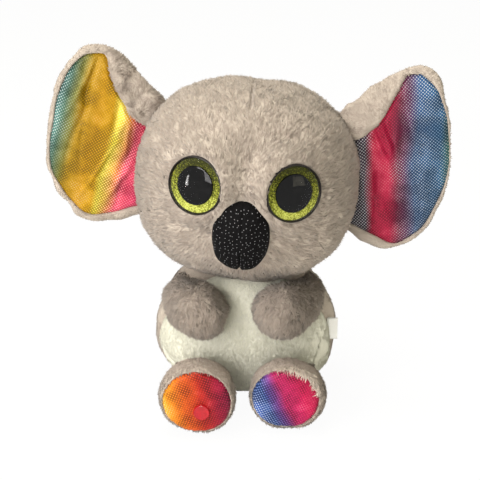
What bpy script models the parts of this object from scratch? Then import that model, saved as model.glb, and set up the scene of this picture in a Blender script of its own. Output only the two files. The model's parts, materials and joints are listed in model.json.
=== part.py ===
"""Seated plush koala with foil-lined ears, glitter eyes and foil foot soles.

The koala faces -Y, its left side is +X, and the floor under it is z = 0. Every
stuffed form starts as a coarse cage. The smoothed cage is the outside of the
sewn cover, and the same cage drawn inwards is the stuffing, so a cover is the
form with its stuffing taken out. Smaller forms are cut by the larger ones that
they are sewn to, also as those lie at the limits of the joint between them.
"""

import math

import bmesh
import bpy
from mathutils import Matrix, Vector

# Clearances and walls, in metres
GAP = 0.0003
SEW_GAP = 0.0004
OVERRUN = 0.02

# Head
HEAD_WIDTH = 0.152
HEAD_DEPTH = 0.132
HEAD_HEIGHT = 0.132
HEAD_ROUNDNESS = 2.5
HEAD_ROLL = math.radians(4)
HEAD_WALL = 0.0045
HEAD_ABOVE_NECK = 0.0630
HEAD_TURN = math.radians(15)

# Neck seam
NECK_HEIGHT = 0.0907
NECK_SIDE = -0.0037
NECK_BACK = -0.005

# Body: share of height, of half width, of half depth, and shift back in half depths
BODY_WIDTH = 0.130
BODY_DEPTH = 0.108
BODY_HEIGHT = 0.1000
BODY_WALL = 0.0042
BODY_ROWS_SHARE = (
    (1.000, 0.000, 0.000, 0.00),
    (0.965, 0.330, 0.350, 0.00),
    (0.885, 0.600, 0.620, 0.00),
    (0.765, 0.800, 0.810, 0.00),
    (0.600, 0.935, 0.930, 0.00),
    (0.420, 1.000, 1.000, 0.01),
    (0.230, 0.995, 0.985, 0.03),
    (0.085, 0.870, 0.850, 0.08),
    (-0.009, 0.570, 0.540, 0.17),
    (-0.011, 0.000, 0.000, 0.17),
)
BODY_SEGMENTS = 16
SEAM_FRONT = -0.008
SEAM_LEAN = math.radians(10)

# Bag of pellets that weights the seat
BAG_WIDTH = 0.084
BAG_DEPTH = 0.066
BAG_HEIGHT = 0.026
BAG_BACK = 0.008

# Ears, in the head's frame: places are measured from the middle of the head
EAR_REACH = 0.074
EAR_RISE = 0.071
EAR_THICKNESS = 0.014
EAR_WALL = 0.0022
EAR_SWELL = 0.0034
EAR_RIM = 0.0040
LINING_SEAT = 0.0026
EAR_BACK = 0.008
EAR_SINK = 0.0085
EAR_ROOT_HEIGHT = 0.0075
EAR_LEAN = math.radians(7.4)
EAR_ROLL = math.radians(1.0)
EAR_FORWARD = math.radians(8)
EAR_FOLD = math.radians(20)
EAR_OUTLINE_SHARE = (
    (0.97, 0.04),
    (0.96, 0.44),
    (0.91, 0.86),
    (0.71, 1.10),
    (0.43, 0.94),
    (0.12, 0.65),
    (-0.20, 0.38),
    (-0.24, 0.02),
    (-0.20, -0.42),
    (0.06, -0.71),
    (0.35, -0.82),
    (0.60, -0.73),
    (0.79, -0.55),
    (0.91, -0.27),
)
EAR_MIDDLE_SHARE = (0.40, 0.05)
EAR_PADDING_SHARE = (0.985, 0.92, 0.985)
EAR_RINGS_SHARE = (
    (0.00, 1.00),
    (0.46, 1.00),
    (0.86, 0.80),
    (1.00, 0.00),
    (0.86, -0.80),
    (0.46, -1.00),
    (0.00, -1.00),
)
LINING_OUTLINE_SHARE = (
    (0.93, 0.03),
    (0.91, 0.42),
    (0.85, 0.82),
    (0.75, 0.99),
    (0.64, 0.98),
    (0.47, 0.76),
    (0.30, 0.49),
    (0.08, 0.29),
    (-0.22, 0.26),
    (-0.22, -0.36),
    (0.06, -0.59),
    (0.36, -0.72),
    (0.60, -0.66),
    (0.78, -0.49),
    (0.88, -0.24),
)

# Eyes
EYE_DIAMETER = 0.0384
EYE_SIDE = 0.0304
EYE_HEIGHT = 0.0140
EYE_OUT = math.radians(25)
EYE_UP = math.radians(5)
EYE_SEGMENTS = 24
RIM_WALL = 0.0015
RIM_HEIGHT = 0.0036
CUP_FLOOR = 0.0010
CUP_BACK = 0.0050
DISC_THICKNESS = 0.0008
PUPIL_DIAMETER = 0.0256
LENS_HEIGHT = 0.0088
SHANK_DIAMETER = 0.005
SHANK_LENGTH = 0.014
WASHER_DIAMETER = 0.017
WASHER_THICKNESS = 0.0015
WASHER_DEPTH = 0.0070

# Nose
NOSE_WIDTH = 0.039
NOSE_LENGTH = 0.0515
NOSE_DROP = 0.0165
NOSE_PROUD = 0.0155
NOSE_WALL = 0.0022
NOSE_TIP = math.radians(8)
NOSE_TOP_SHARE = 0.24
NOSE_SEGMENTS = 12

# Arms: share of length, of half width, and shift outwards in half widths
ARM_LENGTH = 0.083
ARM_WIDTH = 0.040
ARM_WALL = 0.0034
ARM_ROOT = 0.012
ARM_SINK = 0.0215
ARM_FRONT = 0.009
ARM_HEIGHT = 0.0715
ARM_INWARD = math.radians(18)
ARM_UP = math.radians(6)
ARM_SWING = math.radians(55)
ARM_ROWS_SHARE = (
    (0.00, 0.00, 0.00),
    (0.05, 0.40, 0.00),
    (0.18, 0.66, 0.08),
    (0.36, 0.80, 0.24),
    (0.56, 0.95, 0.22),
    (0.74, 1.00, 0.08),
    (0.89, 0.80, 0.00),
    (0.975, 0.40, 0.00),
    (1.00, 0.00, 0.00),
)
LIMB_SEGMENTS = 12

# Legs: share of length and of half width
LEG_LENGTH = 0.075
LEG_SETBACK = 0.008
LEG_WIDTH = 0.053
LEG_WALL = 0.0036
LEG_SIDE = 0.0300
LEG_SHIFT = 0.0011
LEG_HEIGHT = 0.0272
LEG_FRONT = 0.020
LEG_HIP = 0.0165
LEG_SPLAY = math.radians(30)
LEG_ROWS_SHARE = (
    (0.00, 0.00),
    (0.02, 0.38),
    (0.18, 0.50),
    (0.36, 0.56),
    (0.51, 0.72),
    (0.66, 0.92),
    (0.82, 1.00),
    (0.94, 0.98),
    (0.997, 0.84),
    (1.00, 0.00),
)
SOLE_SHARE = 0.83
SOLE_DEPTH = 0.006

# Round badge on the right sole
BADGE_DIAMETER = 0.0108
BADGE_THICKNESS = 0.0022
BADGE_RIM = 0.0011
BADGE_DISH = 0.0006
BADGE_SIDE = 0.0034
BADGE_DROP = 0.0065

# Satin side tag
TAG_REACH = 0.0120
TAG_LENGTH = 0.016
TAG_SLIT = 0.0008
TAG_CLOTH = 0.0004
TAG_HEIGHT = 0.046
TAG_BACK = -0.0161
TAG_SINK = 0.009

SIDES = (("left", 1), ("right", -1))
CAGE_HEAD = (16, 10)
CAGE_STEP = 4

FUR = ((0.51, 0.46, 0.42), 0.9, 0.0)
WHITE_FUR = ((0.82, 0.83, 0.72), 0.9, 0.0)
FIBRE = ((0.88, 0.88, 0.86), 0.95, 0.0)
PELLETS = ((0.70, 0.70, 0.68), 0.8, 0.0)
RAINBOW_FOIL = ((0.80, 0.42, 0.12), 0.35, 0.6)
VIOLET_FOIL = ((0.30, 0.16, 0.55), 0.35, 0.6)
RED_FOIL = ((0.85, 0.20, 0.16), 0.35, 0.6)
NOSE_CLOTH = ((0.02, 0.02, 0.022), 0.7, 0.0)
BLACK_PLASTIC = ((0.01, 0.01, 0.011), 0.25, 0.0)
GLITTER = ((0.52, 0.60, 0.08), 0.35, 0.3)
CLEAR = ((0.75, 0.80, 0.75), 0.05, 0.0)
WASHER_PLASTIC = ((0.75, 0.75, 0.73), 0.5, 0.0)
RED_PLASTIC = ((0.78, 0.02, 0.03), 0.3, 0.0)
SATIN = ((0.90, 0.90, 0.88), 0.5, 0.0)

parts = None
cutters = None


def clear_scene():
    for old in list(bpy.data.objects):
        bpy.data.objects.remove(old, do_unlink=True)


def new_collection(name):
    made = bpy.data.collections.new(name)
    bpy.context.scene.collection.children.link(made)
    return made


def material(name, finish):
    colour, roughness, metallic = finish
    made = bpy.data.materials.new(name)
    made.use_nodes = True
    shader = made.node_tree.nodes["Principled BSDF"]
    shader.inputs["Base Color"].default_value = (*colour, 1)
    shader.inputs["Roughness"].default_value = roughness
    shader.inputs["Metallic"].default_value = metallic
    made.diffuse_color = (*colour, 1)
    return made


def piece(name, mesh, finish, place=Matrix(), smooth=True):
    """A visible sub-part."""
    if mesh.users:
        mesh = mesh.copy()
    made = bpy.data.objects.new(name, mesh)
    mesh.materials.clear()
    mesh.materials.append(material(name, finish))
    if smooth:
        mesh.shade_smooth()
    made.matrix_world = place
    parts.objects.link(made)
    return made


def cutter(name, mesh, place=Matrix()):
    """A helper that only cuts."""
    made = bpy.data.objects.new(name, mesh)
    made.hide_render = True
    made.display_type = "WIRE"
    made.matrix_world = place
    cutters.objects.link(made)
    return made


def mesh_from(bm, name):
    """The finished mesh, with its faces turned outwards where a mirrored place turned them in."""
    bmesh.ops.recalc_face_normals(bm, faces=bm.faces)
    if bm.calc_volume(signed=True) < 0:
        bmesh.ops.reverse_faces(bm, faces=bm.faces)
    mesh = bpy.data.meshes.new(name)
    bm.to_mesh(mesh)
    bm.free()
    return mesh


def ball_cage(name, segments, rings, place):
    """A cage made from a ball whose points are moved by place(point, ring, turn)."""
    bm = bmesh.new()
    bmesh.ops.create_uvsphere(bm, u_segments=segments, v_segments=rings, radius=1)
    for vert in bm.verts:
        ring = round(math.acos(max(-1, min(1, vert.co.z))) / math.pi * rings)
        turns = math.atan2(vert.co.y, vert.co.x) / math.tau * segments
        turn = math.floor(turns + 0.25) % segments
        vert.co = place(vert.co.copy(), ring, turn)
    return mesh_from(bm, name)


def ring_cage(name, segments, rows):
    """A cage of elliptical rings: each row is (x, y, z, half width, half depth)."""
    swell = 1 / math.cos(math.pi / segments)

    def place(_, ring, turn):
        x, y, z, wide, deep = rows[ring]
        angle = math.tau * turn / segments
        return Vector((x + wide * swell * math.cos(angle), y + deep * swell * math.sin(angle), z))

    return ball_cage(name, segments, len(rows) - 1, place)


def turned(name, profile, finish, place, segments):
    """A turned piece: its profile of (radius, height) runs from top to bottom."""
    mesh = bpy.data.meshes.new(name)
    points = [(radius, 0, height) for radius, height in profile]
    count = len(points)
    closed = profile[0][0] > 0
    edges = [(i, i + 1) for i in range(count - 1)]
    if closed:
        edges.append((count - 1, 0))
    mesh.from_pydata(points, edges, [])
    made = piece(name, mesh, finish, place)
    screw = made.modifiers.new("Turn", "SCREW")
    screw.steps = segments
    screw.render_steps = segments
    screw.use_merge_vertices = True
    screw.merge_threshold = 0.00001
    return made


def drum(name, radius, bottom, top, place, segments=CAGE_HEAD[0]):
    """A cylindrical cutter along its own Z, from bottom to top."""
    bm = bmesh.new()
    bmesh.ops.create_cone(
        bm, cap_ends=True, segments=segments, radius1=radius, radius2=radius, depth=top - bottom
    )
    bmesh.ops.translate(bm, verts=bm.verts, vec=(0, 0, (top + bottom) / 2))
    return cutter(name, mesh_from(bm, name), place)


def block(name, low, high, place):
    """A box-shaped cutter between two corners."""
    bm = bmesh.new()
    bmesh.ops.create_cube(bm, size=1)
    low, high = Vector(low), Vector(high)
    bmesh.ops.scale(bm, verts=bm.verts, vec=high - low)
    bmesh.ops.translate(bm, verts=bm.verts, vec=(low + high) / 2)
    return cutter(name, mesh_from(bm, name), place)


def prism(name, outline, front, back, place):
    """An outline in X and Z drawn through from y = front to y = back."""
    bm = bmesh.new()
    verts = [bm.verts.new((x, front, z)) for x, z in outline]
    face = bm.faces.new(verts)
    grown = bmesh.ops.extrude_face_region(bm, geom=[face])["geom"]
    moved = [item for item in grown if isinstance(item, bmesh.types.BMVert)]
    bmesh.ops.translate(bm, verts=moved, vec=(0, back - front, 0))
    return cutter(name, mesh_from(bm, name), place)


def smooth_form(made):
    smooth = made.modifiers.new("Smooth", "SUBSURF")
    smooth.levels = 1
    smooth.render_levels = 1


def facet(made):
    """Splits the faces the same way on every copy of a cage."""
    split = made.modifiers.new("Facet", "TRIANGULATE")
    split.quad_method = "FIXED"


def grow(made, distance):
    moved = made.modifiers.new("Grow", "DISPLACE")
    moved.mid_level = 0
    moved.strength = distance


def boolean(made, other, operation="DIFFERENCE"):
    cut = made.modifiers.new(operation.title() + " " + other.name, "BOOLEAN")
    cut.operation = operation
    cut.object = other
    cut.solver = "EXACT"


def cut(made, others):
    """Takes all these cutters out of a piece in one step."""
    group = bpy.data.collections.new("cuts_" + made.name)
    cutters.children.link(group)
    for other in others:
        group.objects.link(other)
    step = made.modifiers.new("Cut", "BOOLEAN")
    step.operation = "DIFFERENCE"
    step.operand_type = "COLLECTION"
    step.collection = group
    step.solver = "EXACT"


def clearance_of(name, cage, place, distance=GAP):
    """The smoothed form grown by a clearance, as a cutter."""
    made = cutter(name, cage, place)
    smooth_form(made)
    grow(made, distance)
    return made


def inside_of(name, cage, place, wall):
    """The space inside a cover, as a cutter."""
    made = cutter(name, cage, place)
    facet(made)
    grow(made, -wall)
    return made


def cover(name, cage, finish, place, others):
    """A sewn cover: the smoothed cage with its inside and the other cutters taken out."""
    made = piece(name, cage, finish, place)
    smooth_form(made)
    cut(made, others)
    return made


def stuffing(name, cage, place, wall, others):
    made = piece(name, cage, FIBRE, place)
    facet(made)
    grow(made, -(wall + GAP))
    cut(made, others)
    return made


def turn_about(point, axis, angle):
    """The matrix that turns about a line in space."""
    return Matrix.Translation(point) @ Matrix.Rotation(angle, 4, axis) @ Matrix.Translation(-point)


def turned_clearances(name, cage, place, point, axis, angles, distance=GAP):
    """The clearance of a larger form, also as a limb on this axis meets it when turned."""
    made = []
    for index, angle in enumerate(angles):
        seen = turn_about(point, axis, -angle) @ place
        made.append(clearance_of(f"{name}_{index}", cage, seen, distance))
    return made


def joint_empty(name, place, parent=None):
    """An empty on a joint, with its Z or X on the axis."""
    made = bpy.data.objects.new(name, None)
    made.empty_display_size = OVERRUN
    parts.objects.link(made)
    hang(made, place, parent)
    return made


def hang(made, place, parent):
    """Parents an object and keeps it at this place in the world."""
    if parent:
        made.parent = parent
        made.matrix_parent_inverse = parent.matrix_world.inverted()
    made.matrix_world = place


def head_surface(x, z):
    """How far in front of the head's middle its surface lies, at x and z from the middle."""
    power = HEAD_ROUNDNESS
    used = abs(2 * x / HEAD_WIDTH) ** power + abs(2 * z / HEAD_HEIGHT) ** power
    return HEAD_DEPTH / 2 * (1 - used) ** (1 / power)


def head_side(z):
    """Half the head's width at this height from its middle."""
    power = HEAD_ROUNDNESS
    return HEAD_WIDTH / 2 * (1 - abs(2 * z / HEAD_HEIGHT) ** power) ** (1 / power)


NECK = Vector((NECK_SIDE, NECK_BACK, NECK_HEIGHT))
NECK_FRAME = Matrix.Translation(NECK) @ Matrix.Rotation(HEAD_ROLL, 4, "Y")
HEAD_FRAME = NECK_FRAME @ Matrix.Translation((0, 0, HEAD_ABOVE_NECK))
HEAD_AXIS = (NECK_FRAME.to_3x3() @ Vector((0, 0, 1))).normalized()
UP = Vector((0, 0, 1))


def head_cage():
    segments, rings = CAGE_HEAD
    swell = 1 / math.cos(math.pi / segments)
    half = Vector((HEAD_WIDTH, HEAD_DEPTH, HEAD_HEIGHT)) / 2

    def place(point, _ring, _turn):
        power = HEAD_ROUNDNESS
        length = sum(abs(part) ** power for part in point) ** (1 / power)
        return Vector(swell * half[i] * point[i] / length for i in range(3))

    return ball_cage("head_cage", segments, rings, place)


def body_cage():
    rows = []
    for height, wide, deep, back in BODY_ROWS_SHARE:
        y = back * BODY_DEPTH / 2
        rows.append((0, y, height * BODY_HEIGHT, wide * BODY_WIDTH / 2, deep * BODY_DEPTH / 2))
    return ring_cage("body_cage", BODY_SEGMENTS, rows)


def eye_frame(side):
    """A frame on the face at an eye, with Z straight out of the eye."""
    x = side * EYE_SIDE
    y = -head_surface(EYE_SIDE, EYE_HEIGHT)
    out = Matrix.Rotation(side * EYE_OUT, 4, "Z") @ Matrix.Rotation(math.pi / 2 - EYE_UP, 4, "X")
    return HEAD_FRAME @ Matrix.Translation((x, y, EYE_HEIGHT)) @ out


def ear_frame(side):
    """A frame at the middle of an ear's root, with Z up the root and X outwards."""
    x = head_side(EAR_ROOT_HEIGHT) - EAR_SINK
    lean = Matrix.Rotation(EAR_ROLL - side * EAR_LEAN, 4, "Y")
    forward = Matrix.Rotation(-side * EAR_FORWARD, 4, "Z")
    return HEAD_FRAME @ Matrix.Translation((side * x, EAR_BACK, EAR_ROOT_HEIGHT)) @ lean @ forward


def arm_frame(side):
    """A frame at the shoulder, with Z along the arm and X outwards."""
    x = BODY_WIDTH / 2 - ARM_SINK
    along = Matrix.Rotation(-side * ARM_INWARD, 4, "Z") @ Matrix.Rotation(math.pi / 2 - ARM_UP, 4, "X")
    return Matrix.Translation((side * x, -ARM_FRONT, ARM_HEIGHT)) @ along


def leg_frame(side):
    """A frame at a leg's root, with Z along the leg to its sole."""
    along = Matrix.Rotation(math.pi / 2, 4, "X")
    return Matrix.Translation((side * LEG_SIDE + LEG_SHIFT, -LEG_FRONT, LEG_HEIGHT)) @ along


def leg_reach(side):
    return LEG_LENGTH - (LEG_SETBACK if side > 0 else 0)


def make_head(cage, head_joint):
    inside = inside_of("head_inside", cage, HEAD_FRAME, HEAD_WALL)
    reach = HEAD_WIDTH
    low = HEAD_ABOVE_NECK - SEW_GAP / 2
    below = block("below_neck", (-reach, -reach, -reach - low), (reach, reach, -low), HEAD_FRAME)
    holes = []
    wells = []
    for label, side in SIDES:
        frame = eye_frame(side)
        bore = SHANK_DIAMETER / 2 + GAP
        holes.append(drum(f"shank_hole_{label}", bore, -OVERRUN, OVERRUN, frame, EYE_SEGMENTS // 2))
        floor = -(WASHER_DEPTH + WASHER_THICKNESS + GAP)
        wells.append(drum(f"washer_room_{label}", WASHER_DIAMETER / 2 + GAP, floor, OVERRUN, frame))
        wells.append(drum(f"shank_well_{label}", bore, -SHANK_LENGTH - GAP, OVERRUN, frame, EYE_SEGMENTS // 2))
    skin = cover("head_cover", cage, FUR, HEAD_FRAME, [inside, below, *holes])
    filling = stuffing("head_stuffing", cage, HEAD_FRAME, HEAD_WALL, [below, *wells])
    for made in (skin, filling):
        hang(made, HEAD_FRAME, head_joint)


def make_eye(label, side, face, head_joint):
    """One safety eye: cup with shank, glitter disc, pupil disc, lens and lock washer."""
    frame = eye_frame(side)
    radius = EYE_DIAMETER / 2
    inner = radius - RIM_WALL
    disc = inner - GAP
    cup_profile = (
        (0, CUP_FLOOR),
        (inner, CUP_FLOOR),
        (inner, RIM_HEIGHT),
        (radius, RIM_HEIGHT),
        (radius, -CUP_BACK),
        (0, -CUP_BACK),
    )
    cup = turned(f"eye_cup_{label}", cup_profile, BLACK_PLASTIC, frame, EYE_SEGMENTS)
    boolean(cup, face)
    bm = bmesh.new()
    bmesh.ops.create_cone(
        bm,
        cap_ends=True,
        segments=EYE_SEGMENTS // 2,
        radius1=SHANK_DIAMETER / 2,
        radius2=SHANK_DIAMETER / 2,
        depth=SHANK_LENGTH + CUP_FLOOR / 2,
    )
    bmesh.ops.translate(bm, verts=bm.verts, vec=(0, 0, (CUP_FLOOR / 2 - SHANK_LENGTH) / 2))
    shank = cutter(f"shank_{label}", mesh_from(bm, f"shank_{label}"), frame)
    boolean(cup, shank, "UNION")

    disc_low = CUP_FLOOR + GAP
    disc_top = disc_low + DISC_THICKNESS
    iris_profile = ((0, disc_top), (disc, disc_top), (disc, disc_low), (0, disc_low))
    iris = turned(f"eye_iris_{label}", iris_profile, GLITTER, frame, EYE_SEGMENTS)
    pupil_low = disc_top + GAP
    pupil_top = pupil_low + DISC_THICKNESS
    edge = PUPIL_DIAMETER / 2
    pupil_profile = ((0, pupil_top), (edge, pupil_top), (edge, pupil_low), (0, pupil_low))
    pupil = turned(f"eye_pupil_{label}", pupil_profile, BLACK_PLASTIC, frame, EYE_SEGMENTS)

    seat = RIM_HEIGHT + GAP
    rise = LENS_HEIGHT - seat
    dome = []
    for step in range(CAGE_STEP + 1):
        angle = math.pi / 2 * step / CAGE_STEP
        dome.append((radius * math.sin(angle), seat + rise * math.cos(angle)))
    lens_profile = (*dome, (disc, seat), (disc, pupil_top + GAP), (0, pupil_top + GAP))
    lens = turned(f"eye_lens_{label}", lens_profile, CLEAR, frame, EYE_SEGMENTS)

    bore = SHANK_DIAMETER / 2 + GAP
    wide = WASHER_DIAMETER / 2
    top, low = -WASHER_DEPTH, -WASHER_DEPTH - WASHER_THICKNESS
    washer_profile = ((bore, top), (wide, top), (wide, low), (bore, low))
    washer = turned(f"eye_washer_{label}", washer_profile, WASHER_PLASTIC, frame, EYE_SEGMENTS // 2)
    for made in (cup, iris, pupil, lens, washer):
        hang(made, frame, head_joint)


def make_nose(face, head_joint):
    """The stuffed nose pad: broad below, narrower above, sewn flat against the face."""
    depth = head_surface(0, NOSE_DROP)
    frame = HEAD_FRAME @ Matrix.Translation((0, -depth, -NOSE_DROP)) @ Matrix.Rotation(NOSE_TIP, 4, "X")
    swell = 1 / math.cos(math.pi / NOSE_SEGMENTS)
    half_width = NOSE_WIDTH / 2 * swell
    half_length = NOSE_LENGTH / 2 * swell

    def place(point, _ring, _turn):
        x, along, out = point
        narrow = 1 - NOSE_TOP_SHARE * along
        return Vector((half_width * x * narrow, -NOSE_PROUD * swell * out, half_length * along))

    cage = ball_cage("nose_cage", NOSE_SEGMENTS, NOSE_SEGMENTS // 2, place)
    inside = inside_of("nose_inside", cage, frame, NOSE_WALL)
    skin = cover("nose_cover", cage, NOSE_CLOTH, frame, [inside, face])
    filling = stuffing("nose_stuffing", cage, frame, NOSE_WALL, [face])
    for made in (skin, filling):
        hang(made, frame, head_joint)


def ear_outline(shares, inset):
    """An outline of an ear's size, drawn in towards the middle of the ear."""
    middle = Vector((EAR_MIDDLE_SHARE[0] * EAR_REACH, EAR_MIDDLE_SHARE[1] * EAR_RISE))
    points = []
    for share_x, share_z in shares:
        spoke = Vector((share_x * EAR_REACH, share_z * EAR_RISE)) - middle
        points.append(middle + spoke * (1 - inset / spoke.length))
    return middle, points


def ear_cage(side, inset, wall):
    """The ear's cage, drawn in at its rim and on both faces."""
    middle, outline = ear_outline(EAR_OUTLINE_SHARE, inset)
    half = EAR_THICKNESS / 2 - wall

    def place(_point, ring, turn):
        across, through = EAR_RINGS_SHARE[ring]
        spot = middle + across * (outline[turn] - middle)
        return Vector((side * spot.x, -through * half, spot.y))

    return ball_cage("ear_cage", len(outline), len(EAR_RINGS_SHARE) - 1, place)


def lining_outline(side, inset):
    _, outline = ear_outline(LINING_OUTLINE_SHARE, inset)
    return [(side * point.x, point.y) for point in outline]


def make_ear(label, side, face_cage, head_joint):
    frame = ear_frame(side)
    root = frame.to_translation()
    axis = (frame.to_3x3() @ UP).normalized()
    joint = joint_empty(f"ear_joint_{label}", frame, head_joint)
    cage = ear_cage(side, -EAR_SWELL, 0)
    core = ear_cage(side, EAR_RIM, EAR_WALL)
    inside = cutter(f"ear_inside_{label}", core, frame)
    facet(inside)
    angles = (0, EAR_FOLD, -EAR_FOLD)
    heads = turned_clearances(f"ear_head_{label}", face_cage, HEAD_FRAME, root, axis, angles)

    reach = EAR_THICKNESS
    opening = prism(f"ear_opening_{label}", lining_outline(side, 0), -reach, -LINING_SEAT, frame)
    back = cover(f"ear_back_{label}", cage, FUR, frame, [inside, opening, *heads])
    finish = VIOLET_FOIL if side > 0 else RAINBOW_FOIL
    lining = cover(f"ear_lining_{label}", cage, finish, frame, [inside, *heads])
    sheet = prism(f"ear_sheet_{label}", lining_outline(side, SEW_GAP), -reach, -LINING_SEAT - GAP, frame)
    boolean(lining, sheet, "INTERSECT")
    middle = Vector((side * EAR_MIDDLE_SHARE[0] * EAR_REACH, 0, EAR_MIDDLE_SHARE[1] * EAR_RISE))
    drawn_in = core.copy()
    drawn_in.transform(Matrix.Translation(-middle))
    drawn_in.transform(Matrix.Diagonal((*EAR_PADDING_SHARE, 1)))
    drawn_in.transform(Matrix.Translation(middle))
    filling = piece(f"ear_padding_{label}", drawn_in, FIBRE, frame)
    facet(filling)
    cut(filling, heads)
    for made in (back, lining, filling):
        hang(made, frame, joint)


def make_body(cage):
    """Belly panel, back panel, stuffing and the bag of pellets."""
    reach = BODY_WIDTH
    inside = inside_of("body_inside", cage, Matrix(), BODY_WALL)
    above = block("above_neck", (-reach, -reach, -HEAD_ABOVE_NECK - SEW_GAP / 2), (reach, reach, reach), HEAD_FRAME)
    floor = block("under_floor", (-reach, -reach, -reach), (reach, reach, 0), Matrix())
    seam = Matrix.Translation((0, SEAM_FRONT, 0)) @ Matrix.Rotation(SEAM_LEAN, 4, "X")
    front = block("front_half", (-reach, -reach, -reach), (reach, -SEW_GAP / 2, reach), seam)
    front_grown = block("front_half_grown", (-reach, -reach, -reach), (reach, SEW_GAP / 2, reach), seam)

    belly = cover("belly_panel", cage, WHITE_FUR, Matrix(), [inside, floor, above])
    boolean(belly, front, "INTERSECT")
    cover("back_panel", cage, FUR, Matrix(), [inside, floor, above, front_grown])

    half = Vector((BAG_WIDTH, BAG_DEPTH, BAG_HEIGHT)) / 2

    def bag_place(point, _ring, _turn):
        return Vector((point.x * half.x, point.y * half.y + BAG_BACK, point.z * half.z))

    bag_cage = ball_cage("bag_cage", LIMB_SEGMENTS, LIMB_SEGMENTS // 2, bag_place)
    seat = Matrix.Translation((0, 0, BODY_WALL + half.z / 2))
    bag = piece("pellet_bag", bag_cage, PELLETS, seat)
    smooth_form(bag)
    keep = inside_of("bag_limit", cage, Matrix(), BODY_WALL + GAP)
    boolean(bag, keep, "INTERSECT")
    room = clearance_of("bag_room", bag_cage, seat)
    stuffing("body_stuffing", cage, Matrix(), BODY_WALL, [above, room])


def arm_cage(side):
    half = ARM_WIDTH / 2
    rows = []
    for along, wide, out in reversed(ARM_ROWS_SHARE):
        z = along * ARM_LENGTH - ARM_ROOT
        rows.append((side * out * half, 0, z, wide * half, wide * half))
    return ring_cage("arm_cage", LIMB_SEGMENTS, rows)


def make_arm(label, side, cages):
    frame = arm_frame(side)
    joint = joint_empty(f"arm_joint_{label}", Matrix.Translation(frame.to_translation()))
    cage = arm_cage(side)
    angles = (0, side * ARM_SWING / 2, side * ARM_SWING)
    point = frame.to_translation()
    bodies = turned_clearances(f"arm_body_{label}", cages["body"], Matrix(), point, UP, angles)
    turns = (0, HEAD_TURN, -HEAD_TURN)
    heads = turned_clearances(f"arm_head_{label}", cages["head"], HEAD_FRAME, NECK, HEAD_AXIS, turns, SEW_GAP)
    inside = inside_of(f"arm_inside_{label}", cage, frame, ARM_WALL)
    skin = cover(f"arm_cover_{label}", cage, FUR, frame, [inside, *bodies, *heads])
    filling = stuffing(f"arm_stuffing_{label}", cage, frame, ARM_WALL, [*bodies, *heads])
    for made in (skin, filling):
        hang(made, frame, joint)


def leg_cage(side):
    half = LEG_WIDTH / 2
    rows = []
    for along, wide in reversed(LEG_ROWS_SHARE):
        rows.append((0, 0, along * leg_reach(side), wide * half, wide * half))
    return ring_cage("leg_cage", LIMB_SEGMENTS, rows)


def make_leg(label, side, cages):
    frame = leg_frame(side)
    hip = Matrix.Translation(frame.to_translation() - Vector((0, LEG_HIP, 0)))
    joint = joint_empty(f"leg_joint_{label}", hip)
    cage = leg_cage(side)
    angles = (0, side * LEG_SPLAY / 2, side * LEG_SPLAY)
    bodies = turned_clearances(f"leg_body_{label}", cages["body"], Matrix(), hip.to_translation(), UP, angles)
    inside = inside_of(f"leg_inside_{label}", cage, frame, LEG_WALL)
    sole_radius = SOLE_SHARE * LEG_WIDTH / 2
    end = leg_reach(side)
    hole = drum(f"sole_hole_{label}", sole_radius, end - SOLE_DEPTH, end + OVERRUN, frame, 2 * LIMB_SEGMENTS)
    skin = cover(f"leg_cover_{label}", cage, FUR, frame, [inside, hole, *bodies])
    filling = stuffing(f"leg_stuffing_{label}", cage, frame, LEG_WALL, bodies)
    finish = VIOLET_FOIL if side > 0 else RED_FOIL
    sole = cover(f"sole_{label}", cage, finish, frame, [inside])
    patch = drum(
        f"sole_patch_{label}",
        sole_radius - SEW_GAP,
        end - SOLE_DEPTH + GAP,
        end + OVERRUN,
        frame,
        2 * LIMB_SEGMENTS,
    )
    boolean(sole, patch, "INTERSECT")
    for made in (skin, filling, sole):
        hang(made, frame, joint)
    return joint


def make_badge(leg_joint, cage):
    """A plain dished disc riveted on the right sole."""
    side = -1
    frame = leg_frame(side) @ Matrix.Translation((BADGE_SIDE, -BADGE_DROP, leg_reach(side)))
    radius = BADGE_DIAMETER / 2
    profile = (
        (0, BADGE_THICKNESS - BADGE_DISH),
        (radius - BADGE_RIM, BADGE_THICKNESS - BADGE_DISH),
        (radius - BADGE_RIM, BADGE_THICKNESS),
        (radius, BADGE_THICKNESS),
        (radius, -SOLE_DEPTH / 2),
        (0, -SOLE_DEPTH / 2),
    )
    badge = turned("badge", profile, RED_PLASTIC, frame, EYE_SEGMENTS)
    sole_front = clearance_of("badge_seat", cage, leg_frame(side))
    boolean(badge, sole_front)
    hang(badge, frame, leg_joint)


def make_tag(body):
    """A folded satin loop caught in the left side seam."""
    half_slit = TAG_SLIT / 2
    bm = bmesh.new()
    edge = []
    for x, y in ((0, -half_slit), (TAG_REACH, -half_slit), (TAG_REACH, half_slit), (0, half_slit)):
        edge.append((x, y))
    low = [bm.verts.new((x, y, -TAG_LENGTH / 2)) for x, y in edge]
    high = [bm.verts.new((x, y, TAG_LENGTH / 2)) for x, y in edge]
    for i in range(len(edge) - 1):
        bm.faces.new((low[i], low[i + 1], high[i + 1], high[i]))
    x = BODY_WIDTH / 2 - TAG_SINK
    place = Matrix.Translation((x, TAG_BACK, TAG_HEIGHT))
    tag = piece("side_tag", mesh_from(bm, "side_tag"), SATIN, place, smooth=False)
    cloth = tag.modifiers.new("Cloth", "SOLIDIFY")
    cloth.thickness = TAG_CLOTH
    cloth.offset = 0
    cloth.use_even_offset = True
    boolean(tag, body)


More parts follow.
